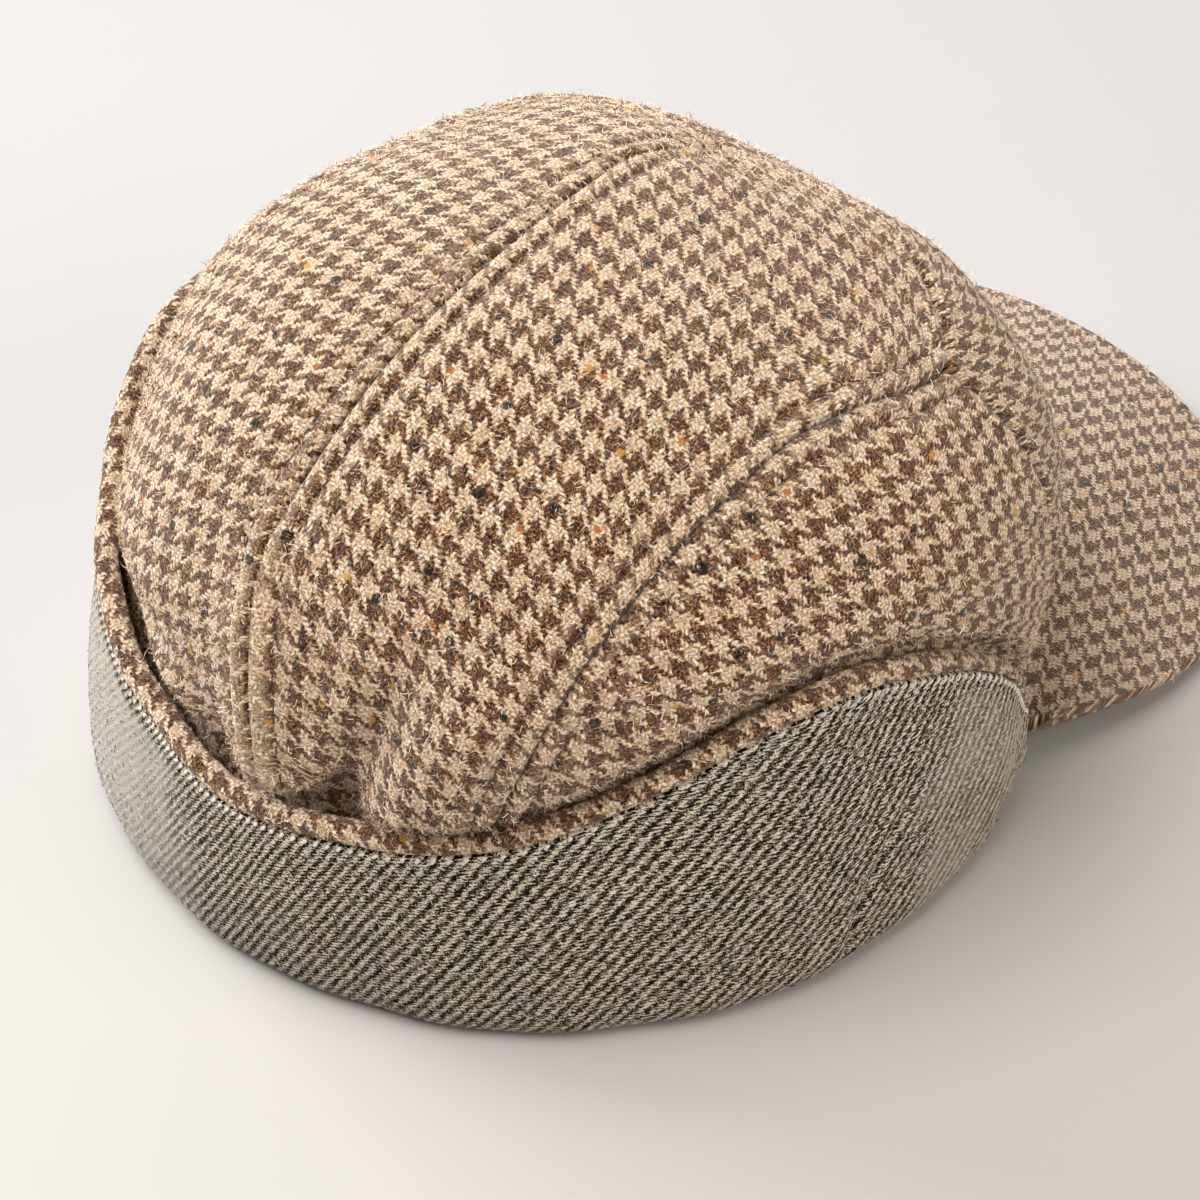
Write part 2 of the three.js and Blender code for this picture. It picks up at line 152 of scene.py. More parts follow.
# Weave scale, how far the weave of each kind of piece is turned, its shift from panel to panel,
# the angle that side panels face, and how far a strip's line and direction are smoothed
TWEED_YARN = 0.70
TWILL_YARN = 0.85
SIDE_TURN = 7.0
PEAK_TURN = -13.0
WEAVE_SHIFT = (3.7, 5.3)
SIDE_FACING = 72
STRIP_SMOOTH = Named(line=12, direction=8)

# Lean of the twill's ridges over the flap and their spacing: angle, lean from the fold, spacing
TWILL_RIDGE = 4 * TWILL_YARN / math.sqrt(2)
TWILL_GRAIN = [
    (-113, 50, 1.8), (-15, 52, 1.8), (8, 60, 2.1), (28, 60, 2.3),
    (45, 56, 2.6), (70, 51, 2.8), (90, 54, 3.1), (113, 58, 3.2),
]

# Crease of the dart in the flap's lining: height, angle
DART = [(2, 79.5), (20, 80.0), (46, 85.5)]
DART_RELIEF = Named(
    depth=0.9, width=1.1, welt=0.3, welt_at=3.2, welt_width=1.8,
    low=1, rise=6, over=6, fade=14,
)
DART_GRID = (77, 88, 33)

# Loose fibres, long hairs with their number and lengths, and number of fibres on each kind of piece
FIBRE_WIDTH = 0.14
FLOOR_GAP = 0.1
# Fibres that rise past a share stand pale: a painted sheen
NAP = Named(
    length=(0.6, 2.4), lift=(0.05, 0.85), pale_from=0.6, sink=0.1, stray=0.3,
    middle=0.5, middle_out=0.12, middle_width=0.8, tip=0.95, tip_back=0.08,
)
HAIR = Named(rings=9, radius=0.05, lift=(0.3, 1.2), swing=1.1, curl=0.9, droop=0.09)
HAIRS = {"panel": (10, (4, 9)), "lining": (70, (4, 12))}
FIBRES = {"top": 27000, "side": 20000, "front": 12000, "lining": 34000, "shell": 8000, "peak": 10000}
# Kinds of fibre: name, colour, share over pale yarns, share over dark yarns
TWEED_FIBRES = [
    ("cream_fibre", "ffecd2", 0.62, 0.16),
    ("tan_fibre", "dcb88e", 0.24, 0.20),
    ("brown_fibre", "75441a", 0.08, 0.34),
    ("dark_fibre", "2c1604", 0.04, 0.22),
    ("violet_grey_fibre", "857b7c", 0.02, 0.08),
]
TWILL_FIBRES = [
    ("pale_grey_fibre", "e6dfd2", 0.60, 0.10),
    ("mid_grey_fibre", "a89e8e", 0.32, 0.25),
    ("charcoal_fibre", "1c160d", 0.08, 0.65),
]

# Row of yarn ends along the lining's upper edge
EDGE_YARN = Named(length=2.3, radius=0.42, below=0.9, sink=0.1, dip=0.45, wander=8, vary=(0.7, 1.2))

# Brushed look of the lining, partly real nap and partly painted light that pales the wearer's left side,
# which faces the window lamp: measure, where it starts, over how far it rises, share of the look
BRUSHED_AND_PAINTED_LIGHT = [("turn", 4, -25, 0.85), ("turn", -46, -30, -0.35), ("turn", 80, 16, 0.4), ("up", 14, -12, 0.6)]
# Crisp yarns along its upper edge, by the length down from there
CRISP_EDGE = Named(begin=1, rise=5, depth=0.5, end=5, fade=4)

# Colours by tone: tone, colour
PALE_STEPS = [(0.38, "8f6741"), (0.45, "dcb185"), (0.5, "fdd8ad"), (0.55, "ffecce"), (0.62, "fff8ea")]
BROWN_STEPS = [(0.38, "0e0400"), (0.45, "331402"), (0.5, "592f0c"), (0.55, "8c5627"), (0.62, "d8a472")]
RIDGE_STEPS = [(0.18, "040200"), (0.36, "221b10"), (0.5, "665b46"), (0.64, "aea189"), (0.88, "fff4e2")]
# Pale colours of the lining's nap, made lighter also as painted light for its lit side
BRUSHED_STEPS = [(0.36, "6f6556"), (0.44, "bbb1a2"), (0.5, "e2d8c9"), (0.56, "f6efe2"), (0.64, "fffbf3")]
THREAD_STEPS = [(0.1, "3a2818"), (0.9, "6e5038")]
FLOOR_STEPS = [(0.3, "b9b6b3"), (0.7, "bbb8b5")]

# Coloured specks: one in some of the cells, its radius, and up to which pick it is dark or orange
NEP = Named(
    cell=8.0, ragged=1.6, least=0.45, spread=0.4, dark_more=0.35, share=0.27,
    dark=0.64, orange=0.84, cover=0.92,
)

# Photographed view, for a square picture
CAMERA = Named(azimuth=40.5, elevation=41.5, roll=4.4, distance=750.0, lens=110.4, sensor=36.0)
CAMERA_TARGET = (-9.5, 8.0, 41.2)

# Studio lamps: name, direction from the cap, distance, size, power, tint
LAMPS = [
    ("window", (0.93, 0.17, 0.34), 2.4, 1.8, 99.0, (0.96, 1.0, 1.07)),
    ("top", (0.06, 0.40, 0.91), 1.5, 1.1, 25.0, (1.0, 0.955, 0.91)),
    ("behind", (0.78, -0.54, 0.31), 1.5, 1.1, 6.5, (0.94, 1.0, 1.10)),
    ("fill", (-0.84, -0.15, 0.52), 1.5, 1.1, 13.0, (1.0, 0.94, 0.88)),
    ("front", (0.16, -0.94, 0.31), 1.5, 1.1, 2.0, (1.0, 0.98, 0.96)),
]
WORLD = Named(tint=(1.0, 0.97, 0.94), strength=0.09)
FLOOR_REACH = 3.0


def ease(t):
    c = np.clip(t, 0, 1)
    return c * c * (3 - 2 * c)


def lerp(a, b, t):
    return a + (b - a) * t


def pack(*parts):
    """Arrays side by side along a new last axis."""
    return np.stack(parts, axis=-1)


def sin_cos(degrees):
    return np.sin(np.radians(degrees)), np.cos(np.radians(degrees))


def bell(x, width, power=2):
    """1 where x is 0, falling off over a width."""
    return np.exp(-((x / width) ** power))


def cap_origin():
    """Where the crown's own centre lies in the frame: the peak's tip is on the centre line."""
    co = np.array([v.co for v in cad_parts["peak"].data.vertices]) / MM
    tip = co[co[:, 1].argmin()]
    tip_y = PEAK.corner_y - PEAK.length - PEAK_THICK.nose
    return np.array([tip[0], tip[1] - tip_y, 0.0])


ORIGIN = cap_origin()


# Form of the flap and the crown
def around(angle, bump):
    """Smooth bump of a size centred on an angle."""
    return bump.most * bell(angle - bump.angle, bump.spread)


def flap_top(angle):
    angles, heights = zip(*FLAP_TOP)
    soften = (-3, -1.5, 0, 1.5, 3)
    level = np.mean([np.interp(np.abs(angle) + d, angles, heights) for d in soften], axis=0)
    return level + around(angle, FLAP_LIFT)


def ring_point(angle, inset):
    s, c = sin_cos(angle)
    out = around(angle, FLAP_STAND) - inset
    side = np.where(s > 0, FLAP.right, FLAP.left) + out
    depth = np.where(c > 0, FLAP.back, FLAP.front) + out
    return pack(-side * s, depth * c)


def rim_height(angle):
    d = np.abs(angle)
    to_corner = ease((d - RIM_TURN.start) / (RIM_TURN.corner - RIM_TURN.start))
    to_front = ease((d - RIM_TURN.corner) / (RIM_TURN.end - RIM_TURN.corner))
    return lerp(RIM.back, RIM.corner, to_corner) + (RIM.front - RIM.corner) * to_front


def bulge(angle):
    s, c = sin_cos(angle)
    right, left = np.maximum(s, 0), np.maximum(-s, 0)
    back, front = np.maximum(c, 0), np.maximum(-c, 0)
    whole = CROWN_BULGE.back * back ** 2 + CROWN_BULGE.front * front ** 2
    whole = whole + CROWN_BULGE.right * right ** 2 + CROWN_BULGE.left * left ** 2
    return whole + CROWN_BULGE.back_left * 2 * back * left


def soft_min(p, q):
    width = 0.03
    return -width * np.logaddexp(-p / width, -q / width)


def left_back(angle):
    """1 from where the fold along the roll starts, towards the left."""
    return ease((ROLL_FOLD.begin - angle) / ROLL_FOLD.rise)


def fold_push(angle, z):
    """How far the folds push the crown out at an angle and a height."""
    push = np.zeros_like(z)
    for level, lean, before, after, low, high, fade, out in FOLDS:
        at = level + lean * np.maximum(z - FOLD_LEVEL, 0)
        spread = np.where(angle < at, before, after)
        up = ease((z - low) / FOLD_RISE) * ease((high - z) / fade)
        push += out * bell(angle - at, spread) * up
    along = left_back(angle) * ease((angle - ROLL_FOLD.end) / ROLL_FOLD.fade)
    crest = bell(z - flap_top(angle) - ROLL_FOLD.above, ROLL_FOLD.width)
    tuck = ease((flap_top(angle) + ROLL_FOLD.above - 1 - z) / ROLL_FOLD.tuck_fade)
    return push + along * (ROLL_FOLD.push * crest - ROLL_FOLD.tuck * tuck)


def crown_point(plan):
    """Outer face of the crown over its plan: a to the wearer's right, b to the back, rim at radius 1."""
    a, b = plan[..., 0], plan[..., 1]
    angle = np.degrees(np.arctan2(a, b))
    t = np.clip(1 - np.hypot(a, b), 0, 1)
    s = np.pi / 2 * t ** 1.5
    rim = rim_height(angle)
    z = rim + (CROWN_TOP - rim) * np.sin(s) ** (2 / CROWN_ROUND.height)
    free = np.cos(s) ** (2 / CROWN_ROUND.plan) + bulge(angle) * np.sin(2 * s)
    gap = ROLL_GAP.least + ROLL_GAP.left * left_back(angle) + around(angle, ROLL_GAP)
    above_flap = ease((z - flap_top(angle) - gap) / CROWN_HELD.flare_rise)
    past_flap = ease((np.abs(angle) - FLAP_END + 1) / CROWN_HELD.front_rise)
    held = 1 + CROWN_HELD.flare * above_flap + CROWN_HELD.front * past_flap
    ring = ring_point(angle, CROWN_INSET)
    scale = soft_min(free, held) + fold_push(angle, z) / np.linalg.norm(ring, axis=-1)
    return np.concatenate([ring * scale[..., None], z[..., None]], axis=-1)


def unit(vectors):
    return vectors / np.maximum(np.linalg.norm(vectors, axis=-1, keepdims=True), 1e-9)


def crown_normal(plan):
    step = 0.004
    radius = np.linalg.norm(plan, axis=-1, keepdims=True)
    inside = plan * np.where(radius > 1 - 2 * step, (1 - 2 * step) / np.maximum(radius, 1e-9), 1)
    along_a = crown_point(inside + (step, 0)) - crown_point(inside - (step, 0))
    along_b = crown_point(inside + (0, step)) - crown_point(inside - (0, step))
    return unit(np.cross(along_b, along_a))


# Seams in the plan of the crown, each over a parameter from 0 to 1
def rim_at(angle):
    return pack(*sin_cos(angle))


def centre_seam(t):
    rim = rim_at(CENTRE_SEAM.rim_angle)
    b = lerp(rim[1], FRONT_SEAM.b, t)
    bend = (b - CENTRE_SEAM.bend_start) / (rim[1] - CENTRE_SEAM.bend_start)
    return pack(rim[0] * np.maximum(bend, 0), b)


def side_seam(t, hand):
    rim = rim_at(SIDE_SEAM.rim_angle)
    b = lerp(rim[1], JUNCTION[1], t)
    a = SIDE_SEAM.at0 + SIDE_SEAM.slope * b + SIDE_SEAM.curve * b * b
    back, front = SIDE_SEAM.ends
    to_rim = ease((b - back) / (rim[1] - back))
    to_junction = ease((front - b) / (front - JUNCTION[1]))
    fitted = lerp(lerp(a, rim[0], to_rim ** 2), JUNCTION[0], to_junction)
    return pack(hand * fitted, b)


def front_seam(t, hand):
    return pack(hand * JUNCTION[0] * t, lerp(FRONT_SEAM.b, JUNCTION[1], t * t))


def front_side_seam(t, hand):
    rim = rim_at(FRONT_SEAM.rim_angle)
    return pack(hand * lerp(JUNCTION[0], rim[0], t), lerp(JUNCTION[1], rim[1], t))


def whole_front_seam(t):
    right = front_seam(np.maximum(1 - 2 * t, 0), 1)
    left = front_seam(np.maximum(2 * t - 1, 0), -1)
    return np.where((t < 0.5)[..., None], right, left)


def patch(edges, u, v):
    """Plan points of a four-sided patch filled in between its edge curves."""
    uu, vv = u[:, None, None], v[None, :, None]
    start, end = edges["start"](u)[:, None], edges["end"](u)[:, None]
    left, right = edges["left"](v)[None], edges["right"](v)[None]
    corners = (1 - uu) * ((1 - vv) * start[:1] + vv * end[:1])
    corners = corners + uu * ((1 - vv) * start[-1:] + vv * end[-1:])
    return (1 - vv) * start + vv * end + (1 - uu) * left + uu * right - corners


# Meshes from arrays
def placed(name, data):
    obj = bpy.data.objects.new(name, data)
    bpy.context.scene.collection.objects.link(obj)
    return obj


def new_object(name, points, faces, materials, maps=None, picks=None):
    """Object from points in the cap's millimetres and arrays of faces; maps has a value per point."""
    mesh = bpy.data.meshes.new(name)
    corners = np.concatenate([f.ravel() for f in faces]).astype(np.int32)
    sizes = np.concatenate([np.full(len(f), f.shape[1]) for f in faces])
    starts = (np.cumsum(sizes) - sizes).astype(np.int32)
    mesh.vertices.add(len(points))
    mesh.vertices.foreach_set("co", ((points + ORIGIN) * MM).astype(np.float32).ravel())
    mesh.loops.add(len(corners))
    mesh.loops.foreach_set("vertex_index", corners)
    mesh.polygons.add(len(starts))
    mesh.polygons.foreach_set("loop_start", starts)
    mesh.update(calc_edges=True)
    for label, values in (maps or {}).items():
        if values.shape[-1] == 2:
            layer = mesh.uv_layers.new(name=label)
            layer.data.foreach_set("uv", values[corners].astype(np.float32).ravel())
        else:
            layer = mesh.attributes.new(label, "FLOAT", "POINT")
            layer.data.foreach_set("value", values.astype(np.float32).ravel())
    for material in materials:
        mesh.materials.append(material)
    if picks is not None:
        mesh.polygons.foreach_set("material_index", picks.astype(np.int32))
    mesh.shade_smooth()
    obj = placed(name, mesh)
    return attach(obj, "root")


def grid_faces(rows, columns, first=0, flip=False):
    index = first + np.arange(rows * columns).reshape(rows, columns)
    quads = pack(index[:-1, :-1], index[1:, :-1], index[1:, 1:], index[:-1, 1:]).reshape(-1, 4)
    return quads[:, ::-1] if flip else quads


def wall_faces(rows, columns):
    """Quads that join the edge of an outer grid to the edge of the inner grid stored after it."""
    index = np.arange(rows * columns).reshape(rows, columns)
    loop = np.concatenate([index[:-1, 0], index[-1, :-1], index[:0:-1, -1], index[0, :0:-1]])
    after = np.roll(loop, -1)
    inner = rows * columns
    return pack(after, loop, loop + inner, after + inner)


def clustered(count, ends):
    """Parameter from 0 to 1 with its steps drawn together towards both ends."""
    t = np.linspace(0, 1, count)
    return t - ends * np.sin(2 * np.pi * t) / (2 * np.pi)


def run_lengths(points, axis):
    """Length along the grid lines of one axis, from the first row."""
    steps = np.linalg.norm(np.diff(points, axis=axis), axis=-1)
    pad = [(1, 0) if k == axis else (0, 0) for k in range(2)]
    return np.pad(np.cumsum(steps, axis=axis), pad)


def lengths(line):
    """Length along a line of points, from its first."""
    return np.concatenate([[0], np.cumsum(np.linalg.norm(np.diff(line, axis=0), axis=1))])


def grid_normals(points):
    return unit(np.cross(np.gradient(points, axis=0), np.gradient(points, axis=1)))


def ripple(points, size, seed):
    """Smooth unevenness between about -1 and 1 over a length of size."""
    rng = np.random.default_rng(seed)
    total = np.zeros(points.shape[:-1])
    waves = 7
    for _ in range(waves):
        direction = unit(rng.normal(size=3)) * 2 * np.pi / (size * rng.uniform(0.7, 1.6))
        total += np.sin(points @ direction + rng.uniform(0, 2 * np.pi))
    return total / (waves / 2)


# Materials
def linear(code):
    """Linear colour from a display colour such as 8a6f5a."""
    parts = [int(code[k:k + 2], 16) / 255 for k in (0, 2, 4)]
    return [p / 12.92 if p <= 0.04045 else ((p + 0.055) / 1.055) ** 2.4 for p in parts] + [1.0]


class Graph:
    """Short calls that add linked nodes to one material."""

    def __init__(self, name):
        self.material = bpy.data.materials.new(name)
        self.material.use_nodes = True
        self.tree = self.material.node_tree
        self.shader = self.tree.nodes["Principled BSDF"]

    def put(self, socket, value):
        if isinstance(value, bpy.types.NodeSocket):
            self.tree.links.new(value, socket)
        else:
            socket.default_value = value

    def node(self, kind, settings=None, **inputs):
        node = self.tree.nodes.new(kind)
        for key, value in (settings or {}).items():
            setattr(node, key, value)
        return self.fill(node, inputs)

    def fill(self, node, inputs):
        for key, value in inputs.items():
            self.put(node.inputs[key.replace("_", " ")], value)
        return node

    def math(self, operation, *values):
        node = self.tree.nodes.new("ShaderNodeMath")
        node.operation = operation
        for socket, value in zip(node.inputs, values):
            self.put(socket, value)
        return node.outputs[0]

    add = partialmethod(math, "ADD")
    times = partialmethod(math, "MULTIPLY")
    mad = partialmethod(math, "MULTIPLY_ADD")
    minus = partialmethod(math, "SUBTRACT")
    less = partialmethod(math, "LESS_THAN")
    modulo = partialmethod(math, "FLOORED_MODULO")

    def choose(self, factor, a, b, kind="FLOAT", first=2, out=0):
        """Value a where factor is 0 and b where it is 1; first is the socket of a."""
        node = self.node("ShaderNodeMix", {"data_type": kind})
        for place, value in ((0, factor), (first, a), (first + 1, b)):
            self.put(node.inputs[place], value)
        return node.outputs[out]

    def blend(self, factor, a, b):
        """Colour a where factor is 0 and b where it is 1."""
        return self.choose(factor, a, b, "RGBA", 6, 2)

    def ramp(self, factor, stops):
        """Colour ramp from rows of place and display colour."""
        node = self.node("ShaderNodeValToRGB", Fac=factor)
        elements = node.color_ramp.elements
        while len(elements) < len(stops):
            elements.new(0.5)
        for element, (place, code) in zip(elements, stops):
            element.position = place
            element.color = linear(code)
        return node.outputs["Color"]

    def step(self, value, low, high):
        """Smooth step of a value from 0 at low to 1 at high."""
        smooth = {"interpolation_type": "SMOOTHSTEP"}
        node = self.node("ShaderNodeMapRange", smooth, Value=value, From_Min=low, From_Max=high)
        return node.outputs["Result"]

    def vector(self, x, y, z):
        return self.node("ShaderNodeCombineXYZ", X=x, Y=y, Z=z).outputs[0]

    def noise(self, vector, scale, detail=2.0, rough=0.5, out="Fac"):
        node = self.node("ShaderNodeTexNoise", Vector=vector, Scale=scale, Detail=detail, Roughness=rough)
        return node.outputs[out]

    def attribute(self, name):
        return self.node("ShaderNodeAttribute", {"attribute_name": name}).outputs["Fac"]

    def look(self, **inputs):
        """The material, with inputs of its shader set or linked."""
        self.fill(self.shader, inputs)
        return self.material

    def map(self, name):
        """The two places of a mesh map, in millimetres of cloth."""
        places = self.node("ShaderNodeUVMap", {"uv_map": name}).outputs[0]
        parts = self.node("ShaderNodeSeparateXYZ", Vector=places)
        return parts.outputs[0], parts.outputs[1]


def yarns(graph, u, v, yarn):
    """2/2 twill of yarns: which yarn lies on top, both yarn counts, relief and streaks along the yarns."""
    along_u, along_v = graph.math("DIVIDE", u, yarn), graph.math("DIVIDE", v, yarn)
    i, j = graph.math("FLOOR", along_u), graph.math("FLOOR", along_v)
    fu, fv = graph.minus(along_u, i), graph.minus(along_v, j)
    turn = graph.modulo(graph.add(i, j), 4.0)
    warp = graph.less(turn, 2.0)
    across = graph.choose(warp, fv, fu)
    along = graph.choose(warp, fu, fv)
    place = graph.add(graph.modulo(turn, 2.0), along)
    side = graph.mad(across, 2.0, -1.0)
    round_over = graph.minus(1.0, graph.times(side, side))
    relief = graph.times(round_over, graph.math("SINE", graph.times(place, math.pi / 2)))
    streak_across = graph.times(graph.choose(warp, v, u), 2.8)
    streak = graph.vector(streak_across, graph.choose(warp, u, v), graph.times(warp, 9.0))
    strand = graph.noise(streak, 1.0, 3.0, 0.65)
    return {"warp": warp, "i": i, "j": j, "relief": relief, "strand": strand}


def wandering(graph, u, v, wide, fine):
    """Places pushed about by the unevenness of spun yarn and by its loose nap."""
    flat = graph.vector(u, v, 0.0)
    slow = graph.node("ShaderNodeSeparateColor", Color=graph.noise(flat, 0.4, out="Color"))
    fast = graph.node("ShaderNodeSeparateColor", Color=graph.noise(flat, 1.9, 3.0, 0.65, "Color"))
    moved = []
    for place, channel in ((u, 0), (v, 1)):
        drift = graph.times(graph.minus(slow.outputs[channel], 0.5), wide)
        fuzz = graph.times(graph.minus(fast.outputs[channel], 0.5), fine)
        moved.append(graph.add(place, graph.add(drift, fuzz)))
    return moved, flat


def shaded(graph, colour, factor):
    scaled = graph.node("ShaderNodeVectorMath", {"operation": "SCALE"}, Vector=colour, Scale=factor)
    return scaled.outputs[0]


def wool(graph, colour, height, distance, sheen):
    bump = graph.node("ShaderNodeBump", Height=height, Distance=distance, Strength=0.85)
    return graph.look(
        Base_Color=colour, Normal=bump.outputs["Normal"], Roughness=0.92, Specular_IOR_Level=0.06,
        Sheen_Weight=sheen, Sheen_Roughness=0.4, Sheen_Tint=(1.0, 0.93, 0.85, 1.0),
    )


def neps(graph, flat, colour):
    """Coloured specks of tangled fibre, a few in each hand's breadth of cloth."""
    cell = graph.node("ShaderNodeTexVoronoi", {"voronoi_dimensions": "2D"}, Vector=flat, Scale=1 / NEP.cell)
    size, chance, hue = graph.node("ShaderNodeSeparateColor", Color=cell.outputs["Color"]).outputs
    ragged = graph.times(graph.minus(graph.noise(flat, 2.5, 3.0, 0.7), 0.5), NEP.ragged)
    away = graph.add(graph.times(cell.outputs["Distance"], NEP.cell), ragged)
    dark = graph.less(hue, NEP.dark)
    radius = graph.mad(dark, NEP.dark_more, graph.mad(size, NEP.spread, NEP.least))
    here = graph.times(graph.less(away, radius), graph.less(chance, NEP.share))
    warm = graph.blend(graph.less(hue, NEP.orange), linear("bd6a2c"), linear("cf9a35"))
    tint = graph.blend(dark, warm, linear("07080b"))
    return graph.blend(graph.times(here, NEP.cover), colour, tint)


def tweed_material():
    graph = Graph("houndstooth_tweed")
    u, v = graph.map("weave")
    (wu, wv), flat = wandering(graph, u, v, 0.6, 1.3)
    yarn = yarns(graph, wu, wv, TWEED_YARN)
    dark = [graph.less(graph.modulo(yarn[k], 8.0), 4.0) for k in ("i", "j")]
    top_dark = graph.choose(yarn["warp"], dark[1], dark[0])
    pale = graph.ramp(yarn["strand"], PALE_STEPS)
    brown = graph.ramp(yarn["strand"], BROWN_STEPS)
    melange = graph.noise(flat, 0.9, 3.0, 0.6)
    brown = graph.blend(graph.times(graph.step(melange, 0.52, 0.64), 0.6), brown, linear("766c6e"))
    fleck = graph.noise(flat, 1.7, 2.0, 0.6)
    brown = graph.blend(graph.times(graph.step(fleck, 0.58, 0.7), 0.6), brown, linear("b06f30"))
    pale = graph.blend(graph.times(graph.step(fleck, 0.64, 0.74), 0.5), pale, linear("d3a565"))
    colour = graph.blend(top_dark, pale, brown)
    # Painted light from the seams: dark grooves are painted shade with some dirt, pale crests and the
    # centre seam's fold are painted highlights, and the peak is given painted shade all over
    marks = graph.attribute("dirt_and_painted_light")
    colour = graph.blend(graph.times(graph.math("MAXIMUM", marks, 0.0), 0.8), colour, pale)
    sunk = graph.mad(graph.math("MINIMUM", marks, 0.0), 0.65, 1.0)
    colour = shaded(graph, colour, sunk)
    # Painted shade in the gaps between the yarns' floats, deepest where their relief is low
    raised = graph.math("SQRT", graph.math("MAXIMUM", yarn["relief"], 0.0))
    colour = shaded(graph, colour, graph.mad(raised, 0.72, 0.38))
    colour = neps(graph, flat, colour)
    nap = graph.noise(flat, 3.4, 3.0, 0.7)
    height = graph.mad(nap, 0.9, yarn["relief"])
    return wool(graph, colour, height, 0.0004, 0.42)


def twill_material():
    graph = Graph("grey_twill")
    u, v = graph.map("weave")
    (wu, wv), flat = wandering(graph, u, v, 0.5, 1.9)
    ridge = graph.math("COSINE", graph.times(graph.minus(wu, wv), math.pi / (2 * TWILL_YARN)))
    tick = graph.math("COSINE", graph.times(wv, 2 * math.pi / TWILL_YARN))
    streak_along = graph.mad(u, 0.85, graph.times(v, -0.3))
    streak_across = graph.mad(v, 2.2, graph.times(u, 0.8))
    strand = graph.noise(graph.vector(streak_along, streak_across, 0.0), 1.0, 3.0, 0.65)
    speck = graph.noise(flat, 3.2, 3.0, 0.7)
    height = graph.mad(ridge, 0.27, graph.times(tick, 0.22))
    height = graph.mad(graph.minus(strand, 0.5), 3.0, height)
    nap_and_painted_light_share = graph.attribute("brushed_and_painted_light")
    crisp = graph.math("MAXIMUM", graph.times(nap_and_painted_light_share, -1.0), 0.0)
    tone = graph.mad(graph.minus(speck, 0.5), 2.0, height)
    mottle = graph.noise(flat, 0.35, 3.0, 0.6)
    tone = graph.mad(graph.minus(mottle, 0.5), 0.7, tone)
    tone = graph.mad(tone, graph.add(crisp, 1.0), graph.mad(crisp, 0.1, 0.5))
    colour = graph.ramp(tone, RIDGE_STEPS)
    fibre = graph.noise(flat, 2.8, 5.0, 0.8)
    # Pale nap colour, partly painted light where the lining faces the window lamp
    brushed_and_painted_light = graph.ramp(fibre, BRUSHED_STEPS)
    patches = graph.noise(flat, 0.07, 3.0, 0.55)
    share = graph.mad(graph.minus(patches, 0.5), 0.9, nap_and_painted_light_share)
    share = graph.mad(graph.minus(fibre, 0.5), 0.8, share)
    colour = graph.blend(graph.times(graph.step(share, 0.1, 0.9), 0.78), colour, brushed_and_painted_light)
    return wool(graph, colour, graph.add(height, fibre), 0.0005, 0.05)


def plain_material(name, code):
    return Graph(name).look(Base_Color=linear(code), Roughness=0.9, Specular_IOR_Level=0.15)


def thread_material():
    graph = Graph("sewing_thread")
    u, v = graph.map("weave")
    twist = graph.math("SINE", graph.mad(u, 9.0, graph.times(v, 5.0)))
    tone = graph.mad(twist, 0.3, 0.5)
    return graph.look(Base_Color=graph.ramp(tone, THREAD_STEPS), Roughness=0.7)


def tweed_is_dark(places):
    """The houndstooth of the tweed's own material, for the fibres that stand on it."""
    count = np.floor(places / TWEED_YARN)
    dark = np.mod(count, 8) < 4
    warp = np.mod(count[:, 0] + count[:, 1], 4) < 2
    return np.where(warp, dark[:, 0], dark[:, 1])


def twill_is_dark(places):
    """The grooves between the twill's ridges."""
    return np.cos((places[:, 0] - places[:, 1]) * np.pi / (2 * TWILL_YARN)) < -0.1


def cloth_kind(slot, material, fibres, is_dark):
    """What the pieces of one cloth share; is_dark tells where dark yarns lie in the weave."""
    tones = [plain_material(name, code) for name, code, *_ in fibres]
    return {
        "slot": slot, "material": material, "is_dark": is_dark, "fibres": fibres, "fibre_materials": tones,
    }


TWEED = cloth_kind("houndstooth_tweed", tweed_material(), TWEED_FIBRES, tweed_is_dark)
TWILL = cloth_kind("grey_twill", twill_material(), TWILL_FIBRES, twill_is_dark)
THREAD = thread_material()


# Nap: thin fibres standing on a cloth face
def scatter(points, weave, count, rng, cover=None):
    """Random places on a grid face, evenly by area: root, normal, two tangents and place in the weave."""
    across = points[:-1, 1:] - points[:-1, :-1]
    along = points[1:, :-1] - points[:-1, :-1]
    area = np.linalg.norm(np.cross(along, across), axis=-1)
    if cover is not None:
        area = area * cover[:-1, :-1]
    area = area.ravel()
    cells = rng.choice(len(area), count, p=area / area.sum())
    i, j = np.unravel_index(cells, points[:-1, :-1].shape[:2])
    s, t = rng.random((2, count, 1))
    normals = grid_normals(points)[i, j]
    roots = points[i, j] + along[i, j] * s + across[i, j] * t
    places = lerp(lerp(weave[i, j], weave[i + 1, j], s), lerp(weave[i, j + 1], weave[i + 1, j + 1], s), t)
    first = unit(along[i, j])
    return roots, normals, first, np.cross(normals, first), places


def above_floor(points):
    points[..., 2] = np.maximum(points[..., 2], FLOOR_GAP)
    return points


def fibre_tones(cloth, places, rise, rng):
    """Row of the fibre table for each fibre, by the yarn under it; upright fibres are pale, a painted
    sheen.
    """
    dark = cloth["is_dark"](places + rng.normal(scale=NAP.stray, size=places.shape))
    # Upright fibres take the pale colours as a painted sheen
    dark = dark & (rise < NAP.pale_from)
    over_pale, over_dark = (np.cumsum([row[k] for row in cloth["fibres"]]) for k in (2, 3))
    pick = rng.random(len(places))
    last = len(cloth["fibres"]) - 1
    tone = np.where(dark, np.searchsorted(over_dark, pick), np.searchsorted(over_pale, pick))
    return np.minimum(tone, last)


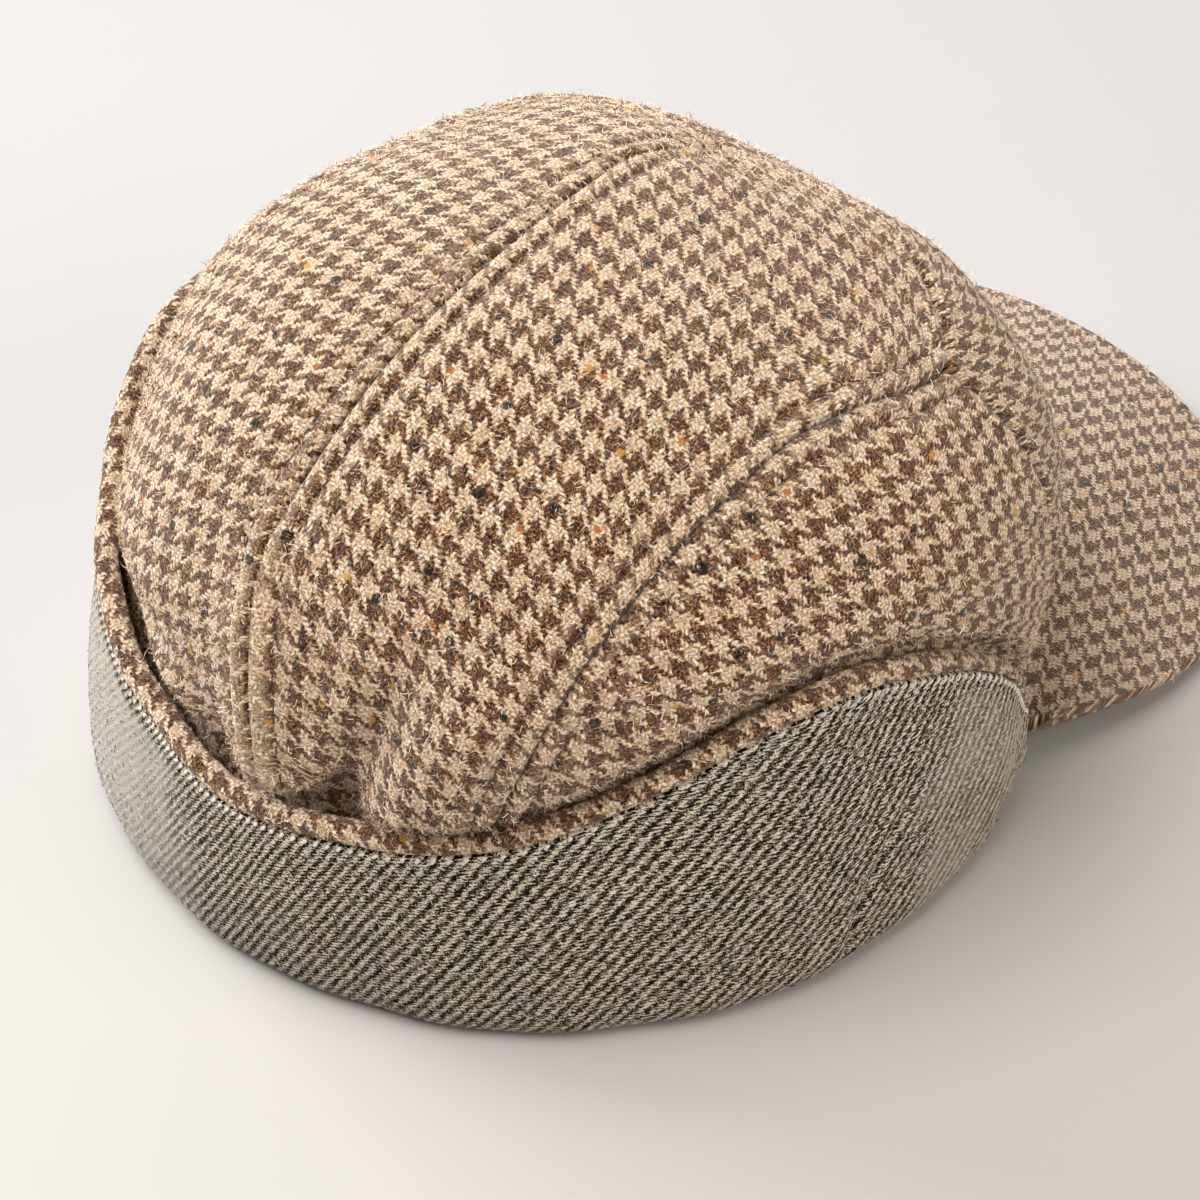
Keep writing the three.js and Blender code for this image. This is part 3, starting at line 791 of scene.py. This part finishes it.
def nap(piece, face, weave, count, cloth, seed, cover=None):
    """One mesh of flat bent fibres that stand on a cloth face, fewer where the cover is less than 1."""
    rng = np.random.default_rng(seed)
    roots, normals, first, second, places = scatter(face, weave, count, rng, cover)
    turn = rng.uniform(0, 2 * np.pi, (count, 1))
    rise = rng.uniform(*NAP.lift, (count, 1))
    lying = first * np.cos(turn) + second * np.sin(turn)
    ahead = unit(lying * np.sqrt(1 - rise ** 2) + normals * rise)
    reach = lerp(*NAP.length, rng.random((count, 1)) ** 2)
    bend = np.cross(ahead, rng.normal(size=(count, 3))) * reach
    side = unit(np.cross(ahead, rng.normal(size=(count, 3)))) * FIBRE_WIDTH / 2
    narrow = side * NAP.middle_width
    sunk = roots - normals * NAP.sink
    middle = above_floor(sunk + ahead * reach * NAP.middle + bend * NAP.middle_out)
    tips = above_floor(sunk + ahead * reach * NAP.tip - bend * NAP.tip_back)
    points = np.stack([sunk + side, sunk - side, middle + narrow, middle - narrow, tips], axis=1)
    first_corner = np.arange(count)[:, None] * 5
    faces = [first_corner + np.array([0, 1, 3, 2]), first_corner + np.array([2, 3, 4])]
    tone = fibre_tones(cloth, places, rise[:, 0], rng)
    fibres = new_object(
        "nap_" + piece, points.reshape(-1, 3), faces, cloth["fibre_materials"], picks=np.tile(tone, 2),
    )
    return fibres


def stray_hairs(piece, face, weave, kind, cloth, seed):
    """Single long curly hairs that stand off a cloth face."""
    rng = np.random.default_rng(seed)
    count, length = HAIRS[kind]
    roots, normals, first, second, _ = scatter(face, weave, count, rng)
    turn = rng.uniform(0, 2 * np.pi, (count, 1))
    lift = rng.uniform(*HAIR.lift, (count, 1))
    ahead = unit(first * np.cos(turn) + second * np.sin(turn) + normals * lift)
    reach = rng.uniform(*length, (count, 1))
    swing = unit(np.cross(ahead, rng.normal(size=(count, 3)))) * HAIR.swing
    lines = [roots]
    for k in range(HAIR.rings - 1):
        step = unit(ahead + swing * np.sin(k * HAIR.curl + turn) - normals * HAIR.droop * k)
        lines.append(lines[-1] + step * reach / HAIR.rings)
    centres = above_floor(np.stack(lines, axis=1))
    ups = np.broadcast_to(normals[:, None], centres.shape)
    pale = cloth["fibre_materials"][0]
    return tubes("stray_hairs_" + piece, centres, ups, HAIR.radius, pale, sides=3)


# Seams
def line_field(points, line):
    """Distance of each grid point from a line of points, and its place along the line."""
    along = lengths(line)
    ahead = unit(np.gradient(line, axis=0))
    tree = KDTree(len(line))
    for k, p in enumerate(line):
        tree.insert(p, k)
    tree.balance()
    near = np.array([tree.find(p)[1] for p in points.reshape(-1, 3)]).reshape(points.shape[:2])

    def slide(at):
        return np.sum((points - line[at]) * ahead[at], axis=-1)

    past = slide(near)
    other = np.clip(near + np.where(past > 0, 1, -1), 0, len(line) - 1)
    part = past / np.where(other == near, 1, past - slide(other))
    place = along[near] + np.where(other == near, past, part * (along[other] - along[near]))
    part = np.clip(np.where(other == near, 0, part), 0, 1)
    foot = lerp(line[near], line[other], part[..., None])
    return np.linalg.norm(points - foot, axis=-1), place


def seam_field(points, curve):
    return line_field(points, crown_point(curve(np.linspace(0, 1, SEAM_STEPS))))


def seam_relief(distance, along, stitched):
    relief = -SEAM.groove * bell(distance, SEAM.groove_width)
    relief = relief + SEAM.welt * bell(distance - SEAM.welt_at, SEAM.welt_width)
    if stitched:
        past = distance - STITCH.at
        tug = 1 + STITCH.tug * np.cos(2 * np.pi * along / STITCH.pitch)
        relief = relief - STITCH.sink * tug * bell(past, STITCH.width)
        relief = relief + STITCH.pillow * bell(past - STITCH.pillow_at, STITCH.pillow_width)
    return relief


def seam_rows(table, stitched):
    return table if stitched else table[:1]


def stitch_line(points, normals, distance, from_last):
    """Line on a panel's face at the topstitching's distance from a seam, with its normals."""
    if from_last:
        points, normals, distance = points[:, ::-1], normals[:, ::-1], distance[:, ::-1]
    line = []
    for row, normal, away in zip(points, normals, distance):
        past = np.flatnonzero(away > STITCH.at)
        if len(past) and past[0] > 0:
            k = past[0]
            t = (STITCH.at - away[k - 1]) / (away[k] - away[k - 1])
            line.append(np.concatenate([lerp(row[k - 1], row[k], t), normal[k]]))
    return np.array(line)


def stitches(line):
    """Centre lines of single stitches along a line, each dipping into the cloth at its ends."""
    along = lengths(line[:, :3])
    starts = np.arange(0, along[-1] - STITCH.length, STITCH.pitch)
    share = np.linspace(0, 1, 5)
    at = starts[:, None] + share * STITCH.length
    place = pack(*(np.interp(at, along, line[:, k]) for k in range(6)))
    bow = STITCH.rise - STITCH.dip * (2 * share - 1) ** 4
    return place[..., :3] + place[..., 3:] * bow[:, None], place[..., 3:]


def tubes(name, centres, normals, radius, material, sides=6):
    """One mesh of round strands along many centre lines."""
    count, rings = centres.shape[:2]
    ahead = unit(np.gradient(centres, axis=1))
    across = unit(np.cross(ahead, normals))
    up = np.cross(across, ahead)
    turn = np.linspace(0, 2 * np.pi, sides, endpoint=False)
    taper = radius * np.sqrt(1.02 - np.linspace(-1, 1, rings) ** 4)
    ring = across[..., None, :] * np.cos(turn)[:, None] + up[..., None, :] * np.sin(turn)[:, None]
    points = centres[..., None, :] + ring * taper[:, None, None]
    index = np.arange(count * rings * sides).reshape(count, rings, sides)
    onward = np.roll(index, -1, axis=2)
    quads = pack(index[:, :-1], onward[:, :-1], onward[:, 1:], index[:, 1:]).reshape(-1, 4)
    caps = np.concatenate([index[:, 0, ::-1], index[:, -1]])
    length = np.broadcast_to(np.linspace(0, 2, rings)[:, None], (count, rings, sides))
    weave = pack(length, np.broadcast_to(turn, length.shape)).reshape(-1, 2)
    strands = new_object(name, points.reshape(-1, 3), [quads, caps], [material], {"weave": weave})
    return strands


# Crown panels
def shell_piece(name, outer, inner, weave, cloth, extra=None):
    """Closed cloth between an outer and an inner grid, in place of its solid."""
    rows, columns = outer.shape[:2]
    points = np.concatenate([outer.reshape(-1, 3), inner.reshape(-1, 3)])
    back = grid_faces(rows, columns, rows * columns, True)
    faces = [grid_faces(rows, columns), back, wall_faces(rows, columns)]
    maps = {"weave": np.concatenate([weave.reshape(-1, 2)] * 2)}
    for label, values in (extra or {}).items():
        maps[label] = np.concatenate([values.ravel()] * 2)[:, None]
    piece = new_object(name, points, faces, [cloth["material"]], maps)
    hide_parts(name)
    return piece


def turned(weave, degrees):
    """Weave turned on the cloth."""
    c, s = math.cos(math.radians(degrees)), math.sin(math.radians(degrees))
    return weave @ np.array([[c, -s], [s, c]])


def smoothed(values, reach):
    """Running mean along the first axis."""
    padded = np.pad(values, [(reach, reach), (0, 0)], mode="edge")
    return np.mean([padded[k:k + len(values)] for k in range(2 * reach + 1)], axis=0)


def strip_weave(points):
    """Weave with its rows along the middle of a strip, true to length across it."""
    half = points.shape[1] // 2
    middle = smoothed(points[:, half], STRIP_SMOOTH.line)
    ahead = smoothed(unit(np.gradient(middle, axis=0)), STRIP_SMOOTH.direction)
    slide = np.sum((points - points[:, half:half + 1]) * ahead[:, None], axis=-1)
    across = run_lengths(points, 1)
    across = across - across[:, half:half + 1]
    square = np.sqrt(np.maximum(across ** 2 - slide ** 2, 0)) * np.sign(across)
    along = run_lengths(points, 0)[:, half:half + 1]
    return pack(square, along + slide)


def upright_weave(points, facing):
    """Weave with upright columns, true to length on the meridian that the panel faces."""
    t = np.linspace(0, 0.999, 300)
    meridian = crown_point(rim_at(facing)[None] * (1 - t)[:, None])
    height = lengths(meridian)
    below = np.minimum(points[..., 2] - meridian[0, 2], 0)
    up = np.interp(points[..., 2], meridian[:, 2], height) + below
    turn = np.degrees(np.arctan2(-points[..., 0], points[..., 1])) - facing
    turn = (turn + 180) % 360 - 180
    radius = np.hypot(points[..., 0], points[..., 1])
    middle = np.interp(points[..., 2], meridian[:, 2], np.hypot(meridian[:, 0], meridian[:, 1]))
    return pack(np.radians(turn) * (radius + middle) / 2, up)


def crown_panel(name, kind, edges, seams, weave_of, seed, hand=1):
    """One cloth panel of the crown; seams has an edge, its curve and whether it is topstitched."""
    plan = patch(edges, *map(clustered, PANEL_GRID[kind], PANEL_CLUSTER))
    base, normals = crown_point(plan), crown_normal(plan)
    relief = sum(height * ripple(base, size, seed + step) for height, size, step in UNEVEN)
    cover = np.ones(base.shape[:2])
    marks = np.zeros(base.shape[:2])
    lines = []
    for edge, curve, stitched in seams:
        distance, along = seam_field(base, curve)
        relief = relief + seam_relief(distance, along, stitched)
        # Painted shade with some dirt in each seam's grooves, and a painted highlight on its crests
        for at, width, tone in seam_rows(SEAM_DIRT_AND_PAINTED_LIGHT, stitched):
            marks = marks + tone * bell(distance - at, width)
        for at, width, share in seam_rows(SEAM_BARE, stitched):
            cover = cover * (1 - share * bell(distance - at, width, 4))
        if curve is centre_seam:
            rise = ease((base[..., 2] - SEAM_FOLD.low) / SEAM_FOLD.rise)
            standing = rise * ease((SEAM_FOLD.high - base[..., 2]) / SEAM_FOLD.fade)
            relief = relief + SEAM_FOLD.height * standing * bell(distance, SEAM_FOLD.width)
            # Painted highlight on the centre seam's raised fold
            marks = marks + SEAM_FOLD.mark * standing * bell(distance, SEAM_FOLD.width, 4)
        if stitched:
            lines.append((distance, edge == "end"))
    uneven = ripple(base, MARK_RIPPLE.size, seed + MARK_RIPPLE.seed)
    marks = marks * (MARK_RIPPLE.least + MARK_RIPPLE.more * uneven)
    outer = base + normals * relief[..., None]
    inner = base - normals * CLOTH
    weave = weave_of(base) + seed * np.array(WEAVE_SHIFT)
    facing = -1 if hand > 0 else 1
    face, places = outer[:, ::facing], weave[:, ::facing]
    piece = shell_piece(name, face, inner[:, ::facing], places, TWEED, {"dirt_and_painted_light": marks[:, ::facing]})
    extras = [
        nap(name, face, places, FIBRES[kind], TWEED, seed, cover[:, ::facing]),
        stray_hairs(name, face, places, "panel", TWEED, seed + 60),
    ]
    if lines:
        rows = [stitches(stitch_line(outer, normals, distance, last)) for distance, last in lines]
        centres, ups = (np.concatenate(parts) for parts in zip(*rows))
        thread = tubes("topstitching_" + name, centres, ups, STITCH.radius, THREAD)
        extras.append(thread)


def top_panel(name, hand, seed):
    edges = {
        "start": centre_seam,
        "end": lambda t: side_seam(t, hand),
        "left": lambda t: rim_at(lerp(CENTRE_SEAM.rim_angle, hand * SIDE_SEAM.rim_angle, t)),
        "right": lambda t: front_seam(t, hand),
    }
    seams = [
        ("start", centre_seam, True),
        ("end", edges["end"], True),
        ("right", edges["right"], False),
    ]
    crown_panel(name, "top", edges, seams, strip_weave, seed, hand)


def side_panel(name, hand, seed):
    back = rim_at(hand * SIDE_SEAM.rim_angle)
    edges = {
        "start": lambda t: side_seam(t, hand),
        "end": lambda t: rim_at(lerp(hand * SIDE_SEAM.rim_angle, hand * FRONT_SEAM.rim_angle, t)),
        "left": lambda t: np.broadcast_to(back, (len(t), 2)),
        "right": lambda t: front_side_seam(t, hand),
    }
    seams = [("start", edges["start"], True), ("right", edges["right"], False)]

    def weave_of(points):
        return turned(upright_weave(points, hand * SIDE_FACING), hand * SIDE_TURN)

    crown_panel(name, "side", edges, seams, weave_of, seed, hand)


def front_panel(name, seed):
    edges = {
        "start": whole_front_seam,
        "end": lambda t: rim_at(lerp(FRONT_SEAM.rim_angle, 360 - FRONT_SEAM.rim_angle, t)),
        "left": lambda t: front_side_seam(t, 1),
        "right": lambda t: front_side_seam(t, -1),
    }
    seams = [(edge, edges[edge], False) for edge in ("start", "left", "right")]
    crown_panel(name, "front", edges, seams, lambda points: upright_weave(points, 180), seed)


# Flap
def fold_base(angle):
    return FLAP_BOTTOM_RISE * ease((np.abs(angle) - FLAP_RISE_START) / (FLAP_END - FLAP_RISE_START)) ** 2


def wall_height(angle, share):
    foot = fold_base(angle) + FLAP_WALL.foot
    return lerp(foot, flap_top(angle) - ROLL_HEIGHT - FLAP_WALL.under_roll, share)


def wall_out(angle, share):
    flare = FLAP_FLARE.least + around(angle, FLAP_FLARE)
    wave = sum(high * np.sin(angle * per + start + up * share) for high, per, start, up in FLAP_WAVES)
    return FLAP_SWELL * np.sin(np.pi * share) ** 2 + flare * (1 - share) ** 1.3 + wave


def dart(angle, z):
    """Relief of the dart's crease in the lining."""
    heights, places = zip(*DART)
    away = np.radians(angle - np.interp(z, heights, places)) * FLAP.right
    groove = -DART_RELIEF.depth * bell(away, DART_RELIEF.width)
    welt = DART_RELIEF.welt * bell(np.abs(away) - DART_RELIEF.welt_at, DART_RELIEF.welt_width)
    low = ease((z - DART_RELIEF.low) / DART_RELIEF.rise)
    return (groove + welt) * low * ease((heights[-1] + DART_RELIEF.over - z) / DART_RELIEF.fade)


def on_flap(angle, inset, z):
    """Point of the flap at an inset under its outer face; its turned-in foot stays level."""
    share = np.clip(z / flap_top(angle), 0, 1)
    out = np.where(inset < FOOT_INSET, wall_out(angle, share), 0)
    return np.concatenate([ring_point(angle, inset - out), z[..., None]], axis=-1)


def rounded(points, rounds):
    """Corner cutting along the second axis that keeps both end points."""
    for _ in range(rounds):
        near, far = points[:, :-1], points[:, 1:]
        corners = np.stack([0.75 * near + 0.25 * far, 0.25 * near + 0.75 * far], axis=2)
        corners = corners.reshape(len(points), -1, points.shape[-1])
        points = np.concatenate([points[:, :1], corners, points[:, -1:]], axis=1)
    return points


def flap_angles(count):
    u = np.linspace(-1, 1, count)
    return FLAP_END * (u + FLAP_CLUSTER * np.sin(np.pi * u))


def flap_face(angles, inset, shares, level, edge, relief=None):
    """Points of one face of the flap: its wall at an inset, then the rows of its edge from a level."""
    rows = [(inset, wall_height(angles, share)) for share in shares]
    rows += [(edge_inset, level + height) for edge_inset, height in edge]
    pairs = [pack(np.full(len(angles), float(place)), height) for place, height in rows]
    shape = rounded(np.stack(pairs, axis=1), 2)
    inset, z = shape[..., 0], shape[..., 1]
    turn = np.broadcast_to(angles[:, None], z.shape)
    if relief is not None:
        inset = inset - np.where(inset < FOOT_INSET, relief(turn, z), 0)
    return on_flap(turn, inset, z)


def flap_weave(angles, run, up):
    """Weave whose ridges lean and spread over the flap as the grain table says."""
    at, lean, spacing = zip(*TWILL_GRAIN)
    turn = np.radians(np.interp(angles, at, lean) - 45)
    scale = TWILL_RIDGE / np.interp(angles, at, spacing)
    step = np.gradient(run)
    first = np.cumsum(scale * np.cos(turn) * step)
    second = -np.cumsum(scale * np.sin(turn) * step)
    u = first[:, None] + (scale * np.sin(turn))[:, None] * up
    v = second[:, None] + (scale * np.cos(turn))[:, None] * up
    return pack(u, v)


def edge_yarns(angles, run, weave, seed):
    """Pale ends of the twill's ridges along the lining's upper edge, under the roll."""
    rng = np.random.default_rng(seed)
    ridge = (weave[:, 0, 0] - weave[:, 0, 1]) / (4 * TWILL_YARN)
    whole = np.floor(ridge)
    row = np.flatnonzero(np.diff(whole))
    part = (np.maximum(whole[row], whole[row + 1]) - ridge[row]) / (ridge[row + 1] - ridge[row])
    at = lerp(run[row], run[row + 1], part)[:, None]
    middle = np.interp(at, run, angles)
    share = np.linspace(-0.5, 0.5, 4)
    grain, slope, _ = zip(*TWILL_GRAIN)
    lean = np.radians(np.interp(middle, grain, slope) + rng.normal(0, EDGE_YARN.wander, at.shape))
    reach = share * EDGE_YARN.length * rng.uniform(*EDGE_YARN.vary, at.shape)
    angle = np.interp(at + reach * np.cos(lean), run, angles)
    z = wall_height(middle, 1) - EDGE_YARN.below + reach * np.sin(lean)
    sunk = np.broadcast_to(EDGE_YARN.sink + EDGE_YARN.dip * (2 * share) ** 4, z.shape)
    centres = on_flap(angle, sunk, z)
    pale = TWILL["fibre_materials"][0]
    return tubes("yarn_ends", centres, unit(centres * (1, 1, 0)), EDGE_YARN.radius, pale)


def lining_piece(name, seed):
    angles = np.union1d(flap_angles(LINING.angles), np.linspace(*DART_GRID))
    base = fold_base(angles)
    out, into = LINING.insets
    outer = flap_face(angles, out, LINING.shares, base, FOOT_OUTER, dart)
    inner = flap_face(angles, into, LINING.shares, base, FOOT_INNER)
    run = run_lengths(outer, 0)[:, outer.shape[1] // 3]
    down = run_lengths(outer, 1)
    foot = outer[..., 2].argmin(axis=1)
    up = down[np.arange(len(down)), foot][:, None] - down
    weave = flap_weave(angles, run, up)
    over = {"turn": angles[:, None], "up": up}
    # Paler towards the wearer's left side, which faces the window lamp: real nap and painted light
    brushed_and_painted_light = sum(share * ease((over[measure] - at) / rise) for measure, at, rise, share in BRUSHED_AND_PAINTED_LIGHT)
    brushed_and_painted_light = np.minimum(brushed_and_painted_light, 1) * ease((down - CRISP_EDGE.begin) / CRISP_EDGE.rise)
    brushed_and_painted_light = brushed_and_painted_light - CRISP_EDGE.depth * ease((CRISP_EDGE.end - down) / CRISP_EDGE.fade)
    piece = shell_piece(name, outer, inner, weave, TWILL, {"brushed_and_painted_light": brushed_and_painted_light})
    seen = outer[:, :LINING.seen], weave[:, :LINING.seen]
    extras = [
        nap(name, *seen, FIBRES["lining"], TWILL, seed),
        stray_hairs(name, *seen, "lining", TWILL, seed + 3),
        edge_yarns(angles, run, weave, seed + 10),
    ]


def shell_flap_piece(name, seed):
    angles = flap_angles(SHELL.angles)
    top = flap_top(angles)
    out, into = SHELL.insets
    outer = flap_face(angles, out, SHELL.shares, top, ROLL_OUTER)
    inner = flap_face(angles, into, SHELL.shares, top, ROLL_INNER)
    run = run_lengths(outer, 0)[:, SHELL.run]
    up = run_lengths(outer, 1)
    weave = pack(np.broadcast_to(run[:, None], up.shape), up)
    piece = shell_piece(name, outer[:, ::-1], inner[:, ::-1], weave[:, ::-1], TWEED)
    roll = outer[:, :SHELL.seen:-1], weave[:, :SHELL.seen:-1]
    nap(name, *roll, FIBRES["shell"], TWEED, seed)


# Peak
def peak_faces():
    """Top and under face of the peak, over its width and outwards from the crown."""
    w = np.linspace(-1, 1, PEAK_GRID[0])
    v = clustered(PEAK_GRID[1], 0.5)
    out = np.maximum(np.cos(w * np.pi / 2), 0)
    side = np.sin(w * np.pi / 2)
    angle = (180 - (180 - PEAK_CORNER) * np.abs(side)) * np.where(side > 0, -1, 1)
    rim = rim_at(angle)
    inside = crown_point(rim) - crown_normal(rim) * CLOTH
    inside[:, 2] = rim_height(angle) - PEAK_GAP
    to_corner = np.maximum(1 - out / PEAK_RISE.rest, 0)
    to_tip = ease((out - PEAK_RISE.rest) / (1 - PEAK_RISE.rest))
    edge_z = PEAK_THICK.edge + PEAK_RISE.corner * to_corner ** 2 + PEAK_RISE.tip * to_tip
    edge_x = PEAK.half_width * side * (1 + PEAK.flare * out)
    edge = pack(edge_x, PEAK.corner_y - PEAK.length * out, edge_z)
    top = lerp(inside[:, None], edge[:, None], v[None, :, None])
    top[..., 2] += PEAK_RISE.arch * np.sin(np.pi * v) * v * out[:, None]
    thick = lerp(PEAK_THICK.inner, PEAK_THICK.edge, v ** 6)
    under = top.copy()
    under[..., 2] -= thick
    outwards = edge - inside
    outwards[:, 2] = 0
    return top, under, unit(outwards)


def peak_piece(name, seed):
    top, under, outwards = peak_faces()
    turn = np.radians(PEAK_NOSE_TURN)
    middle = (top[:, -1:] + under[:, -1:]) / 2
    half = (top[:, -1:, 2:] - under[:, -1:, 2:]) / 2
    nose = middle + outwards[:, None] * PEAK_THICK.nose * np.cos(turn)[:, None]
    nose[..., 2:] -= half * np.sin(turn)[:, None]
    section = np.concatenate([top, nose, under[:, ::-1]], axis=1)
    rows, columns = section.shape[:2]
    index = np.arange(rows * columns).reshape(rows, columns)
    onward = np.roll(index, -1, axis=1)
    quads = pack(index[:-1], onward[:-1], onward[1:], index[1:]).reshape(-1, 4)
    lower = np.arange(columns // 2 - 1)
    caps = []
    for ring in (index[0], index[-1][::-1]):
        far = ring[::-1]
        caps.append(pack(ring[lower], far[lower], far[lower + 1], ring[lower + 1]))
    over = section + outwards[:, None] * np.maximum(top[:, -1:, 2:] - section[..., 2:], 0)
    past = np.arange(columns) - top.shape[1]
    on_edge = (past >= 0) & (past <= len(turn))
    weave = turned(np.where(on_edge[:, None], over, section)[..., :2], PEAK_TURN)
    # Painted shade over the whole peak, through the seams' attribute
    maps = {"weave": weave.reshape(-1, 2), "dirt_and_painted_light": np.full((weave.size // 2, 1), PEAK_PAINTED_SHADE)}
    piece = new_object(name, section.reshape(-1, 3), [quads[:, ::-1], *caps], [TWEED["material"]], maps)
    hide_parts(name)
    face = np.concatenate([top, nose], axis=1)[::-1]
    places = weave[::-1, :face.shape[1]]
    nap(name, face, places, FIBRES["peak"], TWEED, seed)


# Stage
def make_camera():
    data = bpy.data.cameras.new("camera")
    data.lens = CAMERA.lens
    data.sensor_width = CAMERA.sensor
    azimuth, elevation, roll = map(math.radians, (CAMERA.azimuth, CAMERA.elevation, CAMERA.roll))
    outwards = np.array([-math.sin(azimuth), math.cos(azimuth), 0.0])
    back = outwards * math.cos(elevation) + np.array([0, 0, math.sin(elevation)])
    level = np.array([-math.cos(azimuth), -math.sin(azimuth), 0.0])
    upright = np.cross(back, level)
    right = level * math.cos(roll) + upright * math.sin(roll)
    place = np.array(CAMERA_TARGET) + ORIGIN + back * CAMERA.distance
    columns = np.column_stack([right, np.cross(back, right), back, place * MM])
    camera = placed("camera", data)
    camera.matrix_world = Matrix([*columns.tolist(), [0, 0, 0, 1]])
    bpy.context.scene.camera = camera


def area_light(name, toward, distance, size, power, tint):
    """Square lamp that shines at the cap from a direction."""
    data = bpy.data.lights.new(name, "AREA")
    data.size = size
    data.energy = power
    data.color = tint
    lamp = placed(name, data)
    direction = Vector(toward).normalized()
    lamp.location = direction * distance
    lamp.rotation_euler = direction.to_track_quat("Z", "Y").to_euler()


def make_floor():
    graph = Graph("pale_floor")
    place = graph.node("ShaderNodeTexCoord").outputs["Object"]
    tone = graph.noise(place, 6.0, 3.0)
    graph.look(Base_Color=graph.ramp(tone, FLOOR_STEPS), Roughness=0.6, Specular_IOR_Level=0.2)
    mesh = bpy.data.meshes.new("floor")
    corners = [(x * FLOOR_REACH, y * FLOOR_REACH, 0) for x, y in ((-1, -1), (1, -1), (1, 1), (-1, 1))]
    mesh.from_pydata(corners, [], [(0, 1, 2, 3)])
    mesh.materials.append(graph.material)
    floor = placed("floor", mesh)


def make_stage():
    make_floor()
    world = bpy.data.worlds.new("studio")
    world.use_nodes = True
    background = world.node_tree.nodes["Background"].inputs
    background["Color"].default_value = (*WORLD.tint, 1.0)
    background["Strength"].default_value = WORLD.strength
    bpy.context.scene.world = world
    for lamp in LAMPS:
        area_light(*lamp)
    bpy.context.scene.view_settings.view_transform = "Standard"


make_camera()
make_stage()
top_panel("crown_top_right", 1, 1)
top_panel("crown_top_left", -1, 2)
side_panel("crown_side_right", 1, 3)
side_panel("crown_side_left", -1, 4)
front_panel("crown_front", 5)
lining_piece("earflap_lining", 21)
shell_flap_piece("earflap_shell", 22)
peak_piece("peak", 23)
